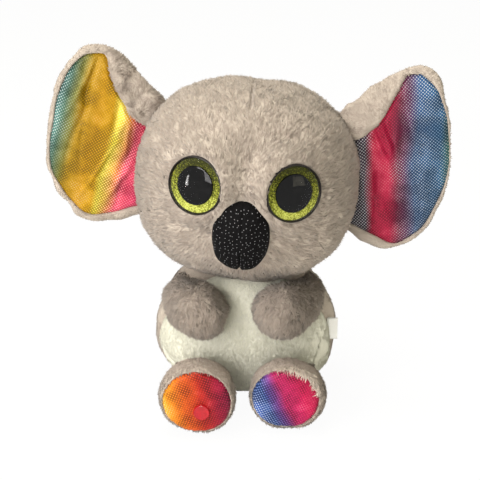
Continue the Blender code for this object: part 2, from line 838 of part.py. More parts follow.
def build():
    global parts, cutters
    clear_scene()
    parts = new_collection("plush_koala")
    cutters = new_collection("cutters")
    cages = {"head": head_cage(), "body": body_cage()}
    head_joint = joint_empty("head_joint", NECK_FRAME)
    face = clearance_of("face", cages["head"], HEAD_FRAME)
    torso = clearance_of("torso", cages["body"], Matrix())
    make_body(cages["body"])
    make_head(cages["head"], head_joint)
    make_nose(face, head_joint)
    legs = {}
    for label, side in SIDES:
        make_eye(label, side, face, head_joint)
        make_ear(label, side, cages["head"], head_joint)
        make_arm(label, side, cages)
        legs[label] = make_leg(label, side, cages)
    make_badge(legs["right"], leg_cage(-1))
    make_tag(torso)


build()
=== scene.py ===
import json
import math

import bmesh
import bpy
import numpy as np
from bpy.props import FloatProperty, FloatVectorProperty, PointerProperty
from mathutils import Matrix, Vector
from mathutils.bvhtree import BVHTree

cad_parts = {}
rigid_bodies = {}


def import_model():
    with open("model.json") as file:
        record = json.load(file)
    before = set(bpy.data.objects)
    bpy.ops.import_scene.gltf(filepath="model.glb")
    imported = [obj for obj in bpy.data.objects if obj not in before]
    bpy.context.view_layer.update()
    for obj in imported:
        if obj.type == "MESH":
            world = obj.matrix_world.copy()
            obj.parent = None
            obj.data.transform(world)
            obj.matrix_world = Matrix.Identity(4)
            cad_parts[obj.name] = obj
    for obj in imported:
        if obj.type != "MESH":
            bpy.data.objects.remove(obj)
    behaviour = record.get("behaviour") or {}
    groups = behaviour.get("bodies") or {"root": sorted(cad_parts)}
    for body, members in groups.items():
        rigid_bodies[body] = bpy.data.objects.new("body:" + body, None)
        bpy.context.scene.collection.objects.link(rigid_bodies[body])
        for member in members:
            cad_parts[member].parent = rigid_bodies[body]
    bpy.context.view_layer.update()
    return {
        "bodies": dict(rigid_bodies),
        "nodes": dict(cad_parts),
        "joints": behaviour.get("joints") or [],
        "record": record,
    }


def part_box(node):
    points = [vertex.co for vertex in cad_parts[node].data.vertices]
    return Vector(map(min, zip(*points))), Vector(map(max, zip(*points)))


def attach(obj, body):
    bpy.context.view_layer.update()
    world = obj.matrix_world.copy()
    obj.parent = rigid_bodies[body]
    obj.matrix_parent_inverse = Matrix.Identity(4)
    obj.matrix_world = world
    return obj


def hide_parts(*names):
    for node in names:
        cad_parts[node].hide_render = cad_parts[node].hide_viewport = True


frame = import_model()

bl_info = {
    "name": "Plush koala",
    "version": (1, 0, 0),
    "blender": (4, 5, 0),
    "location": "View3D > Sidebar > Koala",
    "description": "Sews a plush koala with foil ears and soles round its plain solids",
    "category": "Object",
}

SIDES = (("left", 1), ("right", -1))

# Head
HEAD_WIDTH = 0.152
HEAD_DEPTH = 0.132
HEAD_HEIGHT = 0.132
HEAD_ROUNDNESS = 2.5
HEAD_CAGE = (16, 10)
NECK = Vector((-0.0037, -0.005, 0.0907))
HEAD_TILT = math.radians(4)
HEAD_LIFT = 0.063
HEAD_FRAME = (
    Matrix.Translation(NECK) @ Matrix.Rotation(HEAD_TILT, 4, "Y") @ Matrix.Translation((0, 0, HEAD_LIFT))
)

# Darts: depth, width, and the heights where each starts and is full. Folds: above the nose
DARTS = ((0.0022, 0.0007, 0.0565, 0.0600), (0.0012, 0.0010, -0.046, -0.054))
DART_SIDE = -0.0006
FOLD_PITCH = 0.0046
FOLD_START = 0.0140

# Eyes
EYE_RADIUS = 0.0192
EYE_SIDE = 0.0304
EYE_HEIGHT = 0.0140
EYE_OUT = math.radians(25)
EYE_UP = math.radians(5)
EYE_HOLE_DEPTH = 0.0045
PUFF_WIDTH = 0.014
PUFF_LEVEL = 0.0022
PUFF_SLANT = 0.0020

# Nose
NOSE_WIDTH = 0.039
NOSE_LENGTH = 0.0515
NOSE_DROP = 0.0165
NOSE_PROUD = 0.0155
NOSE_TIP = math.radians(8)
NOSE_TOP_SHARE = 0.05
NOSE_ROUNDNESS = 2.3
NOSE_CAGE = (12, 6)

# Body: each row is height, half width, half depth and shift back, as shares
BODY_WIDTH = 0.130
BODY_DEPTH = 0.108
BODY_HEIGHT = 0.1000
BODY_ROWS_SHARE = (
    (1, 0, 0, 0),
    (0.965, 0.33, 0.35, 0),
    (0.885, 0.60, 0.62, 0),
    (0.765, 0.80, 0.81, 0),
    (0.60, 0.935, 0.93, 0),
    (0.42, 1, 1, 0.01),
    (0.23, 0.995, 0.985, 0.03),
    (0.085, 0.87, 0.85, 0.08),
    (-0.009, 0.57, 0.54, 0.17),
    (-0.011, 0, 0, 0.17),
)
SEAM_FRONT = -0.008
SEAM_LEAN = math.radians(10)

# Ears: outlines as shares of the reach and rise
EAR_REACH = 0.074
EAR_RISE = 0.071
EAR_THICKNESS = 0.014
EAR_HEIGHT = 0.0075
EAR_BACK = 0.008
EAR_SUNK = 0.0085
EAR_SKEW = math.radians(1)
EAR_LEAN = math.radians(7.4)
EAR_FORWARD = math.radians(8)
EAR_SWELL = 0.0034
EAR_MIDDLE_SHARE = (0.40, 0.05)
EAR_OUTLINE_SHARE = (
    (0.97, 0.04), (0.96, 0.44), (0.91, 0.86), (0.71, 1.10), (0.43, 0.94),
    (0.12, 0.65), (-0.20, 0.38), (-0.24, 0.02), (-0.20, -0.42), (0.06, -0.71),
    (0.35, -0.82), (0.60, -0.73), (0.79, -0.55), (0.91, -0.27),
)
EAR_RINGS_SHARE = ((0, 1), (0.46, 1), (0.86, 0.8), (1, 0), (0.86, -0.8), (0.46, -1), (0, -1))
EAR_EDGE_SHARE = {
    "right": (
        (0.967, -0.156), (0.994, 0.09), (0.995, 0.382), (0.973, 0.608), (0.918, 0.772), (0.824, 0.932),
        (0.733, 0.991), (0.598, 1.021), (0.472, 0.993), (0.356, 0.908), (0.234, 0.80), (0.09, 0.685),
        (-0.024, 0.60), (-0.20, 0.38), (-0.24, 0.02), (-0.20, -0.42), (0.075, -0.668), (0.275, -0.744),
        (0.42, -0.771), (0.573, -0.738), (0.674, -0.637), (0.77, -0.561), (0.906, -0.352), (0.948, -0.244),
    ),
    "left": (
        (0.979, 0.151), (0.975, 0.393), (0.96, 0.566), (0.919, 0.781), (0.871, 0.94), (0.802, 1.024),
        (0.723, 1.06), (0.605, 1.059), (0.467, 1.002), (0.268, 0.883), (0.086, 0.72), (0.004, 0.665),
        (-0.20, 0.38), (-0.24, 0.02), (-0.20, -0.42), (0.052, -0.648), (0.157, -0.739), (0.367, -0.791),
        (0.534, -0.751), (0.679, -0.652), (0.78, -0.533), (0.88, -0.323), (0.948, -0.118),
    ),
}
LINING_EDGE_SHARE = {
    "right": (
        (0.933, -0.149), (0.953, 0.03), (0.951, 0.167), (0.955, 0.389), (0.934, 0.55), (0.889, 0.712),
        (0.81, 0.848), (0.739, 0.906), (0.623, 0.934), (0.574, 0.907), (0.483, 0.706), (0.347, 0.511),
        (0.266, 0.404), (0.106, 0.322), (-0.20, 0.26), (-0.22, -0.36), (0.096, -0.551), (0.252, -0.634),
        (0.474, -0.70), (0.661, -0.587), (0.788, -0.446), (0.88, -0.324),
    ),
    "left": (
        (0.958, 0.151), (0.95, 0.393), (0.932, 0.566), (0.892, 0.717), (0.84, 0.844), (0.724, 0.971),
        (0.645, 0.987), (0.566, 0.974), (0.537, 0.927), (0.448, 0.756), (0.347, 0.559), (0.226, 0.426),
        (0.123, 0.359), (-0.20, 0.26), (-0.22, -0.36), (0.074, -0.542), (0.262, -0.642), (0.45, -0.735),
        (0.616, -0.645), (0.739, -0.525), (0.85, -0.301), (0.925, -0.095),
    ),
}
PILE_EDGE = 0.0012

# Arms and legs: each row is along, half width and, for an arm, shift outwards, as shares
ARM_LENGTH = 0.083
ARM_HALF = 0.020
ARM_ROOT = 0.012
ARM_PLACE = (0.0435, -0.009, 0.0715)
ARM_INWARD = math.radians(18)
ARM_UP = math.radians(6)
ARM_ROWS_SHARE = (
    (0, 0, 0), (0.05, 0.36, 0), (0.18, 0.58, 0.10), (0.36, 0.70, 0.26), (0.56, 0.85, 0.23),
    (0.74, 0.93, 0.08), (0.89, 0.76, 0), (0.975, 0.38, 0), (0.99, 0, 0),
)
LEG_LENGTH = 0.075
LEG_SETBACK = 0.008
LEG_HALF = 0.0265
LEG_SIDE = 0.030
LEG_SHIFT = 0.0011
LEG_FRONT = 0.020
LEG_HEIGHT = 0.0272
LEG_ROWS_SHARE = (
    (0, 0), (0.02, 0.38), (0.18, 0.47), (0.36, 0.52), (0.51, 0.66),
    (0.66, 0.87), (0.82, 0.97), (0.94, 0.97), (0.997, 0.85), (1, 0),
)
SOLE_MIDDLE_AND_RADII = {"left": (-0.0014, -0.0016, 0.0230, 0.0222), "right": (0, -0.0014, 0.0234, 0.0231)}
FOOT_TOP_SHARE = {"left": 0.84, "right": 0.90}
LEG_TOP_SHARE = 0.25
LIMB_SEGMENTS = 12

# Gaps between what touches, in metres
CLEARANCE = 0.0004
COVER_GAP = 0.0008
EAR_GAP = 0.0007
NOSE_GAP = 0.0003
FLOOR_GAP = 0.0003

# Pile: strands to a clump, where a root sits, and the least length and lean that grow
STRANDS = 3
ROOT_DEPTH = 0.0003
SHORTEST_PILE = 0.0004
LEAN_LIMITS = (0.15, 1.45)
NEIGHBOUR_REACH = 0.02
ROOM_USED = 1.3

# Foil prints. stops: share along the print, colour. pale: share along it, strength of the dots' painted
# glint.
# The print runs along way from start, in its piece's frame, and turn sets its dots' grid.
SOLE_PRINTS = {
    "left": {
        "name": "sole_foil_cool",
        "stops": (
            (0.0, (0.02, 0.10, 0.42)), (0.2, (0.04, 0.11, 0.40)), (0.34, (0.20, 0.06, 0.30)),
            (0.46, (0.52, 0.02, 0.13)), (0.75, (0.56, 0.008, 0.08)), (1.0, (0.40, 0.006, 0.05)),
        ),
        "pale": ((0.0, 0.55), (0.18, 0.3), (0.36, 0.0)),
        "way": (0.92, 0.39, 0),
        "turn": (0, 0, math.radians(28)),
    },
    "right": {
        "name": "sole_foil_warm",
        "stops": (
            (0.0, (0.90, 0.56, 0.02)), (0.12, (0.86, 0.30, 0.012)), (0.34, (0.74, 0.12, 0.01)),
            (0.56, (0.52, 0.025, 0.012)), (0.80, (0.36, 0.008, 0.035)), (1.0, (0.28, 0.006, 0.05)),
        ),
        "pale": ((0.0, 0.3), (0.12, 0.0)),
        "way": (0.92, 0.15, 0),
        "turn": (0, 0, math.radians(-20)),
    },
}
EAR_PRINTS = {
    "left": {
        "name": "ear_foil_cool",
        "stops": (
            (0.0, (0.02, 0.012, 0.03)), (0.24, (0.03, 0.015, 0.04)), (0.315, (0.42, 0.012, 0.05)),
            (0.455, (0.46, 0.015, 0.06)), (0.54, (0.16, 0.010, 0.045)), (0.61, (0.08, 0.014, 0.075)),
            (0.69, (0.014, 0.070, 0.20)), (0.90, (0.012, 0.10, 0.24)), (1.0, (0.008, 0.09, 0.05)),
        ),
        "pale": (
            (0.0, 0.45), (0.24, 0.50), (0.32, 0.04), (0.45, 0.0), (0.56, 0.22), (0.75, 0.42), (1.0, 0.3),
        ),
        "way": (0.96, 0, -0.02),
        "start": -0.004,
        "length": 0.073,
        "turn": (0, math.radians(40), 0),
    },
    "right": {
        "name": "ear_foil_warm",
        "stops": (
            (0.0, (0.16, 0.42, 0.50)), (0.07, (0.08, 0.26, 0.26)), (0.16, (0.05, 0.12, 0.07)),
            (0.24, (0.20, 0.19, 0.03)), (0.30, (0.38, 0.22, 0.004)), (0.46, (0.51, 0.26, 0.003)),
            (0.59, (0.59, 0.32, 0.004)), (0.65, (0.86, 0.70, 0.06)), (0.72, (0.86, 0.48, 0.04)),
            (0.77, (0.86, 0.22, 0.03)), (0.83, (0.76, 0.05, 0.11)), (1.0, (0.60, 0.02, 0.10)),
        ),
        "pale": (
            (0.0, 1.0), (0.08, 0.7), (0.15, 0.15), (0.32, 0.0), (0.58, 0.0), (0.70, 0.3),
            (0.80, 0.45), (0.9, 0.15),
        ),
        "way": (0.96, 0, -0.07),
        "start": -0.0745,
        "length": 0.072,
        "turn": (0, math.radians(-42), 0),
    },
}
SOLE_SLOTS = {"left": "violet_foil", "right": "red_foil"}
LINING_SLOTS = {"left": "violet_foil", "right": "gold_foil"}

# Camera: what it looks at, from where round it, how far off, and its lens
AIM = Vector((-0.0042, 0, 0.1056))
CAMERA_TURN = math.radians(2.5)
CAMERA_LIFT = math.radians(21.5)
CAMERA_FAR = 0.9
LENS = 95.745


# Materials

def new_material(name, **values):
    """A node material, with plain values on its shader's own sockets."""
    made = bpy.data.materials.new(name)
    made.use_nodes = True
    shader = made.node_tree.nodes["Principled BSDF"]
    for key, value in values.items():
        shader.inputs[key.replace("_", " ")].default_value = value
    return made, shader


def add_node(made, kind, **settings):
    """A node with its settings; a setting that names a socket sets that socket."""
    node = made.node_tree.nodes.new(kind)
    for key, value in settings.items():
        if hasattr(node, key):
            setattr(node, key, value)
        else:
            node.inputs[key.replace("_", " ")].default_value = value
    return node


def link(made, source, target):
    made.node_tree.links.new(source, target)


def place_of(made):
    """Where each point lies on its own object."""
    return add_node(made, "ShaderNodeTexCoord").outputs["Object"]


def scaled(colour, share):
    return tuple(share * part for part in colour)


def ramp(made, factor, stops):
    """A colour ramp over a factor; stops are (position, colour)."""
    node = add_node(made, "ShaderNodeValToRGB")
    points = node.color_ramp.elements
    while len(points) < len(stops):
        points.new(0.5)
    for point, (position, colour) in zip(points, stops):
        point.position = position
        point.color = (*colour, 1)
    link(made, factor, node.inputs["Fac"])
    return node.outputs["Color"]


def noise(made, scale, detail=3, place=None, roughness=0.55):
    """Soft random mottling, finer as the scale grows."""
    node = add_node(made, "ShaderNodeTexNoise", Scale=scale, Detail=detail, Roughness=roughness)
    link(made, place or place_of(made), node.inputs["Vector"])
    return node.outputs["Fac"]


def calc(made, operation, first, second=None, third=None):
    """A maths node; each part is a socket or a number."""
    node = add_node(made, "ShaderNodeMath", operation=operation)
    for socket, part in zip(node.inputs, (first, second, third)):
        if part is None:
            continue
        if isinstance(part, (int, float)):
            socket.default_value = part
        else:
            link(made, part, socket)
    return node.outputs["Value"]


def held(made, value, low, high):
    """A value kept between two numbers."""
    return calc(made, "MINIMUM", calc(made, "MAXIMUM", value, low), high)


def blend_colours(made, factor, first, second):
    """A colour between two; each part is a socket, a number or a colour."""
    node = add_node(made, "ShaderNodeMix", data_type="RGBA")
    sockets = [s for s in node.inputs if s.enabled]
    for socket, part in zip(sockets, (factor, first, second)):
        if isinstance(part, (int, float)):
            socket.default_value = part
        elif isinstance(part, (tuple, list)):
            socket.default_value = (*part, 1)
        else:
            link(made, part, socket)
    return [s for s in node.outputs if s.enabled][0]


def bump(made, shader, height, distance, strength=1.0):
    """Fine relief on a shader; distance is its height in metres."""
    node = add_node(made, "ShaderNodeBump", Distance=distance, Strength=strength)
    link(made, height, node.inputs["Height"])
    link(made, node.outputs["Normal"], shader.inputs["Normal"])


def flat_place(made, place, upward):
    """A place's X and one more of its coordinates, for a pattern that is printed flat."""
    parts = add_node(made, "ShaderNodeSeparateXYZ")
    link(made, place, parts.inputs["Vector"])
    plane = add_node(made, "ShaderNodeCombineXYZ")
    link(made, parts.outputs["X"], plane.inputs["X"])
    link(made, parts.outputs[upward], plane.inputs["Y"])
    return plane.outputs["Vector"]


def show_mixed(made, factor, first, second, output="Material Output"):
    """Shows a mix of two shader nodes."""
    mixed = add_node(made, "ShaderNodeMixShader")
    link(made, factor, mixed.inputs["Fac"])
    link(made, first.outputs[0], mixed.inputs[1])
    link(made, second.outputs[0], mixed.inputs[2])
    link(made, mixed.outputs["Shader"], made.node_tree.nodes[output].inputs["Surface"])


def seen_plainly(made):
    """1 for what is seen straight, mirrored or through clear plastic; 0 for light that lands on things."""
    rays = add_node(made, "ShaderNodeLightPath")
    seen = calc(made, "MAXIMUM", rays.outputs["Is Camera Ray"], rays.outputs["Is Glossy Ray"])
    return calc(made, "MAXIMUM", seen, rays.outputs["Is Transmission Ray"])


def fur_backing(name, colour):
    """The knitted backing under the pile: mottled and dull, and darker than the tips as painted shade among
    the roots.
    """
    made, shader = new_material(name, Roughness=0.95, Specular_IOR_Level=0.1, Sheen_Weight=0.15)
    light = tuple(min(1, 1.05 * part) for part in colour)
    mottled = ramp(made, noise(made, 90, 4), ((0.3, scaled(colour, 0.80)), (0.7, light)))
    link(made, mottled, shader.inputs["Base Color"])
    bump(made, shader, noise(made, 1400, 2), 0.0008, 0.6)


def pile_shades(name, colour, steps):
    """Plain shades of one pile colour, from shadowed to sunlit tips."""
    for index, step in enumerate(steps):
        tone = (*(min(0.95, part * share) for part, share in zip(colour, step)), 1)
        new_material(
            f"{name}_{index}", Base_Color=tone, Roughness=0.75, Specular_IOR_Level=0.18, Sheen_Weight=0.2,
            Sheen_Roughness=0.5,
        )


# Forms

def cage_mesh(name, segments, rings, place, levels):
    """A ball cage moved by place(point, ring, turn), smoothed, and read back as a mesh."""
    bm = bmesh.new()
    bmesh.ops.create_uvsphere(bm, u_segments=segments, v_segments=rings, radius=1)
    for vert in bm.verts:
        ring = round(math.acos(max(-1, min(1, vert.co.z))) / math.pi * rings)
        turn = math.floor(math.atan2(vert.co.y, vert.co.x) / math.tau * segments + 0.25) % segments
        vert.co = place(vert.co.copy(), ring, turn)
    mesh = bpy.data.meshes.new(name)
    bm.to_mesh(mesh)
    bm.free()
    made = bpy.data.objects.new(name, mesh)
    bpy.context.scene.collection.objects.link(made)
    made.modifiers.new("Smooth", "SUBSURF").levels = levels
    fine = bpy.data.meshes.new_from_object(made.evaluated_get(bpy.context.evaluated_depsgraph_get()))
    bpy.data.objects.remove(made)
    bpy.data.meshes.remove(mesh)
    fine.name = name
    points = points_of(fine)
    if np.sum((points - points.mean(axis=0)) * normals_of(fine)) < 0:
        fine.flip_normals()
    return fine


def ring_place(rows, segments):
    """Places a cage on elliptical rings; each row is (x, y, z, half width, half depth)."""
    swell = 1 / math.cos(math.pi / segments)

    def place(_, ring, turn):
        x, y, z, wide, deep = rows[ring]
        angle = math.tau * turn / segments
        return Vector((x + wide * swell * math.cos(angle), y + deep * swell * math.sin(angle), z))

    return place


def points_of(mesh):
    """A mesh's points, one to a row."""
    flat = np.empty(len(mesh.vertices) * 3)
    mesh.vertices.foreach_get("co", flat)
    return flat.reshape(-1, 3)


def set_points(mesh, points):
    mesh.vertices.foreach_set("co", np.ascontiguousarray(points, dtype=np.float32).ravel())
    mesh.update()


def normals_of(mesh):
    flat = np.empty(len(mesh.vertices) * 3)
    mesh.vertex_normals.foreach_get("vector", flat)
    return flat.reshape(-1, 3)


def moved(points, matrix):
    """Points taken through a matrix."""
    grid = np.array(matrix)
    return points @ grid[:3, :3].T + grid[:3, 3]


def ease(low, high, values):
    """0 below low, 1 above high and smooth between."""
    share = np.clip((values - low) / (high - low), 0, 1)
    return share * share * (3 - 2 * share)


def hill(values, width):
    """1 at zero, falling away on both sides over about that width."""
    return np.exp(-((values / width) ** 2))


def waves(points, size, seed, count=14):
    """A smooth random field of about -1 to 1 whose lumps are about that size."""
    rng = np.random.default_rng(seed)
    total = np.zeros(len(points))
    for _ in range(count):
        way = rng.normal(size=3)
        way /= np.linalg.norm(way)
        turns = math.tau / size * rng.uniform(0.55, 1.5)
        total += np.sin(points @ way * turns + rng.uniform(0, math.tau))
    return total / math.sqrt(count / 2) / 1.6


def faces_of(mesh):
    """The corners of a mesh's triangles, one triangle to a row."""
    mesh.calc_loop_triangles()
    faces = np.empty(len(mesh.loop_triangles) * 3, int)
    mesh.loop_triangles.foreach_get("vertices", faces)
    return faces.reshape(-1, 3)


def tree_of(mesh, matrix=Matrix()):
    """A tree for finding the nearest point of a mesh that a matrix places."""
    return BVHTree.FromPolygons(moved(points_of(mesh), matrix).tolist(), faces_of(mesh).tolist())


def clearance_to(points, tree, within=1.0):
    """How far each point lies outside a closed form, and the way out. Inside it is below zero."""
    gaps = np.empty(len(points))
    ways = np.empty((len(points), 3))
    for index, point in enumerate(points):
        spot, normal, _, _ = tree.find_nearest(point, within)
        if spot is None:
            gaps[index] = within
            ways[index] = 0
            continue
        away = Vector(point) - spot
        gaps[index] = away.length if away.dot(normal) > 0 else -away.length
        ways[index] = normal
    return gaps, ways


def pressed(points, trees, gap=CLEARANCE):
    """Moves the points that lie in other forms out to their surfaces."""
    for tree in trees:
        gaps, ways = clearance_to(points, tree)
        push = np.maximum(gap - gaps, 0)
        points = points + ways * push[:, None]
    return points


def puffed(mesh, height):
    """A mesh's points, each moved outwards by height(points)."""
    points = points_of(mesh)
    return points + normals_of(mesh) * height(points)[:, None]


def settle(mesh, points, frame, names, gap, floor=-math.inf):
    """Gives a form its points, pressed clear of its named neighbours and of a floor."""
    world = pressed(moved(points, frame), [form(name) for name in names], gap)
    world[:, 2] = np.maximum(world[:, 2], floor)
    set_points(mesh, moved(world, frame.inverted()))


def add_object(name, mesh, materials, body, matrix=Matrix()):
    """A smooth piece in the scene that moves with its body."""
    made = bpy.data.objects.new(name, mesh)
    bpy.context.scene.collection.objects.link(made)
    mesh.materials.clear()
    for finish in materials:
        mesh.materials.append(finish)
    mesh.shade_smooth()
    made.matrix_world = matrix
    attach(made, body)
    return made


def state_soft(made, slot, fill, *replaced):
    """Hides the solids that a soft piece replaces. The piece, its material and its fill from 0, slack, to 1,
    tight, are not used.
    """
    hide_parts(*replaced)


def tangent(ways, normals):
    """The part of each way that lies along the cloth, one unit long."""
    flat = ways - normals * np.sum(ways * normals, axis=1)[:, None]
    size = np.linalg.norm(flat, axis=1)[:, None]
    return flat / np.maximum(size, 1e-9)


def scattered(skin, clumps, keep, rng):
    """Random spots on a skin, and its normals there; keep(points) says where they may lie."""
    world = moved(points_of(skin.data), skin.matrix_world)
    faces = faces_of(skin.data)
    corner_normals = normals_of(skin.data) @ np.array(skin.matrix_world.to_3x3()).T
    a, b, c = (world[faces[:, i]] for i in range(3))
    areas = np.linalg.norm(np.cross(b - a, c - a), axis=1)
    if keep is not None:
        areas = areas * keep((a + b + c) / 3)
    chosen = rng.choice(len(faces), size=clumps, p=areas / areas.sum())
    first = np.sqrt(rng.random(clumps))
    second = rng.random(clumps)
    weights = np.stack((1 - first, first * (1 - second), first * second), axis=1)
    spots = np.einsum("ij,ijk->ik", weights, world[faces[chosen]])
    normals = np.einsum("ij,ijk->ik", weights, corner_normals[faces[chosen]])
    return spots, normals / np.linalg.norm(normals, axis=1)[:, None]


def strand_mesh(name, under, tips, radius, sides, across, shade):
    """Thin three-sided strands from their roots to their tips, as one mesh."""
    corners = []
    for corner in range(3):
        angle = math.tau * corner / 3
        corners.append(under + radius * (sides * math.cos(angle) + across * math.sin(angle)))
    verts = np.stack((*corners, tips), axis=1)
    verts[:, :, 2] = np.maximum(verts[:, :, 2], FLOOR_GAP / 2)
    total = len(tips)
    order = np.array((0, 1, 3, 1, 2, 3, 2, 0, 3))
    loops = (order[None, :] + 4 * np.arange(total)[:, None]).ravel()
    mesh = bpy.data.meshes.new(name)
    mesh.vertices.add(total * 4)
    mesh.vertices.foreach_set("co", verts.astype(np.float32).ravel())
    mesh.loops.add(len(loops))
    mesh.loops.foreach_set("vertex_index", loops.astype(np.int32))
    mesh.polygons.add(total * 3)
    mesh.polygons.foreach_set("loop_start", (np.arange(total * 3) * 3).astype(np.int32))
    mesh.polygons.foreach_set("material_index", np.repeat(shade, 3).astype(np.int32))
    mesh.update(calc_edges=True)
    mesh.validate()
    return mesh


def grow_pile(name, skin, shades, body, clumps, length, comb, seed, room=(), lean=0.85, curl=0.3, keep=None,
              patch=0.012, tuft=0.4, spread=0.0007, relief=None, mean=0.5, ruffle=1.0):
    """
    Clumps of pile on a skin, combed along comb(points) and kept clear of the forms in room.
    Lean tips it over, curl and tuft turn it aside over patches, and ruffle makes it uneven.
    Mean sets its shade, which some pieces vary as painted light and shade, and relief tilts how it takes the
    light.
    """
    fur = bpy.context.scene.koala_fur
    share = fur.density * 1
    clumps = int(clumps * share)
    rng = np.random.default_rng(seed)
    roots, normals = scattered(SKINS[skin], clumps, keep, rng)
    lengths = length(roots) if callable(length) else np.full(clumps, length)
    lengths = lengths * rng.uniform(0.75, 1.15, clumps)
    for name_of_form in room:
        gaps, _ = clearance_to(roots, form(name_of_form), NEIGHBOUR_REACH)
        lengths = np.minimum(lengths, np.maximum(gaps * ROOM_USED, 0))
    alive = lengths > SHORTEST_PILE
    roots, normals, lengths = roots[alive], normals[alive], lengths[alive]
    count = len(roots)
    ways = tangent(comb(roots), normals)
    swirl = waves(roots, patch, seed + 1) * tuft + rng.normal(size=count) * curl
    ways = ways * np.cos(swirl)[:, None] + np.cross(normals, ways) * np.sin(swirl)[:, None]
    sides = np.cross(normals, ways)
    stray = 0.18 * waves(roots, patch * 0.6, seed + 2) + rng.normal(size=count) * 0.14
    tilt = np.clip(lean + ruffle * stray, *LEAN_LIMITS)
    rise = normals * np.cos(tilt)[:, None] + ways * np.sin(tilt)[:, None]
    across = np.cross(rise, sides)
    middle = mean(roots) if callable(mean) else mean
    wild = 0.4 + 0.6 * ruffle
    tone = middle + 0.09 * waves(roots, patch, seed + 3) + rng.normal(size=count) * 0.24 * wild
    slant = rng.normal(size=(count, 3)) * 0.32 * wild
    if relief is not None:
        slant += relief(roots)

    # The strands of each clump start apart, and their tips come together
    pick = np.repeat(np.arange(count), STRANDS)
    total = len(pick)
    offset = rng.normal(size=(total, 2)) * (spread, 0.42 * spread)
    aside = ways[pick] * offset[:, :1] + sides[pick] * offset[:, 1:]
    under = roots[pick] + aside - normals[pick] * ROOT_DEPTH
    reach = lengths[pick] * rng.uniform(0.8, 1.1, total)
    tips = roots[pick] + 0.45 * aside + rise[pick] * reach[:, None]
    tips[:, 2] = np.maximum(tips[:, 2], FLOOR_GAP)
    radius = (fur.strand / 2 * rng.uniform(0.7, 1.3, total))[:, None]
    shade = ((tone[pick] + rng.normal(size=total) * 0.06) * len(shades)).astype(int)
    shade = np.clip(shade, 0, len(shades) - 1)
    mesh = strand_mesh(name, under, tips, radius, sides[pick], across[pick], shade)
    add_object(name, mesh, shades, body)

    # Roots are lit as the cloth is, and tips partly along their strand
    at_root = (normals + slant)[pick]
    at_tip = (normals * 0.75 + rise * 0.30 + slant)[pick]
    lit = np.stack((at_root, at_root, at_root, at_tip), axis=1)
    lit /= np.linalg.norm(lit, axis=2)[:, :, None]
    mesh.normals_split_custom_set_from_vertices(lit.reshape(-1, 3).astype(np.float32).tolist())


# Frames

def head_surface(x, z):
    """How far in front of its middle the head's surface lies, at a spot seen from the front."""
    used = abs(2 * x / HEAD_WIDTH) ** HEAD_ROUNDNESS + abs(2 * z / HEAD_HEIGHT) ** HEAD_ROUNDNESS
    return HEAD_DEPTH / 2 * (1 - used) ** (1 / HEAD_ROUNDNESS)


def eye_frame(side):
    out = Matrix.Rotation(side * EYE_OUT, 4, "Z") @ Matrix.Rotation(math.pi / 2 - EYE_UP, 4, "X")
    spot = (side * EYE_SIDE, -head_surface(EYE_SIDE, EYE_HEIGHT), EYE_HEIGHT)
    return HEAD_FRAME @ Matrix.Translation(spot) @ out


def nose_share(points):
    """How far out from the nose pad's middle each point of its frame is; 1 is the pad's rim."""
    high = np.abs(points[:, 2]) / (NOSE_LENGTH / 2)
    narrow = 1 - NOSE_TOP_SHARE * points[:, 2] / (NOSE_LENGTH / 2)
    wide = np.abs(points[:, 0]) / (NOSE_WIDTH / 2 * narrow)
    return (wide**NOSE_ROUNDNESS + high**NOSE_ROUNDNESS) ** (1 / NOSE_ROUNDNESS)


def nose_frame():
    spot = (0, -head_surface(0, NOSE_DROP), -NOSE_DROP)
    return HEAD_FRAME @ Matrix.Translation(spot) @ Matrix.Rotation(NOSE_TIP, 4, "X")


def ear_frame(side):
    used = abs(2 * EAR_HEIGHT / HEAD_HEIGHT) ** HEAD_ROUNDNESS
    x = HEAD_WIDTH / 2 * (1 - used) ** (1 / HEAD_ROUNDNESS) - EAR_SUNK
    lean = Matrix.Rotation(EAR_SKEW - side * EAR_LEAN, 4, "Y")
    forward = Matrix.Rotation(-side * EAR_FORWARD, 4, "Z")
    return HEAD_FRAME @ Matrix.Translation((side * x, EAR_BACK, EAR_HEIGHT)) @ lean @ forward


def arm_frame(side):
    x, y, z = ARM_PLACE
    along = Matrix.Rotation(-side * ARM_INWARD, 4, "Z") @ Matrix.Rotation(math.pi / 2 - ARM_UP, 4, "X")
    return Matrix.Translation((side * x, y, z)) @ along


def leg_frame(side):
    along = Matrix.Rotation(math.pi / 2, 4, "X")
    return Matrix.Translation((side * LEG_SIDE + LEG_SHIFT, -LEG_FRONT, LEG_HEIGHT)) @ along


def leg_reach(side):
    """How far a leg reaches to its sole; the left one is drawn back a little."""
    return LEG_LENGTH - (LEG_SETBACK if side > 0 else 0)


# Skins: each form is kept here once it is sewn, for the pieces that lie against it
FORMS = {}
SKINS = {}


def keep_form(made):
    """Keeps a sewn form's surface, for what is pressed against it."""
    FORMS[made.name] = tree_of(made.data, made.matrix_world)
    SKINS[made.name] = made


def form(name):
    """The surface of a form that is sewn."""
    if name not in FORMS:
        raise RuntimeError(f"the {name} has to be sewn first")
    return FORMS[name]


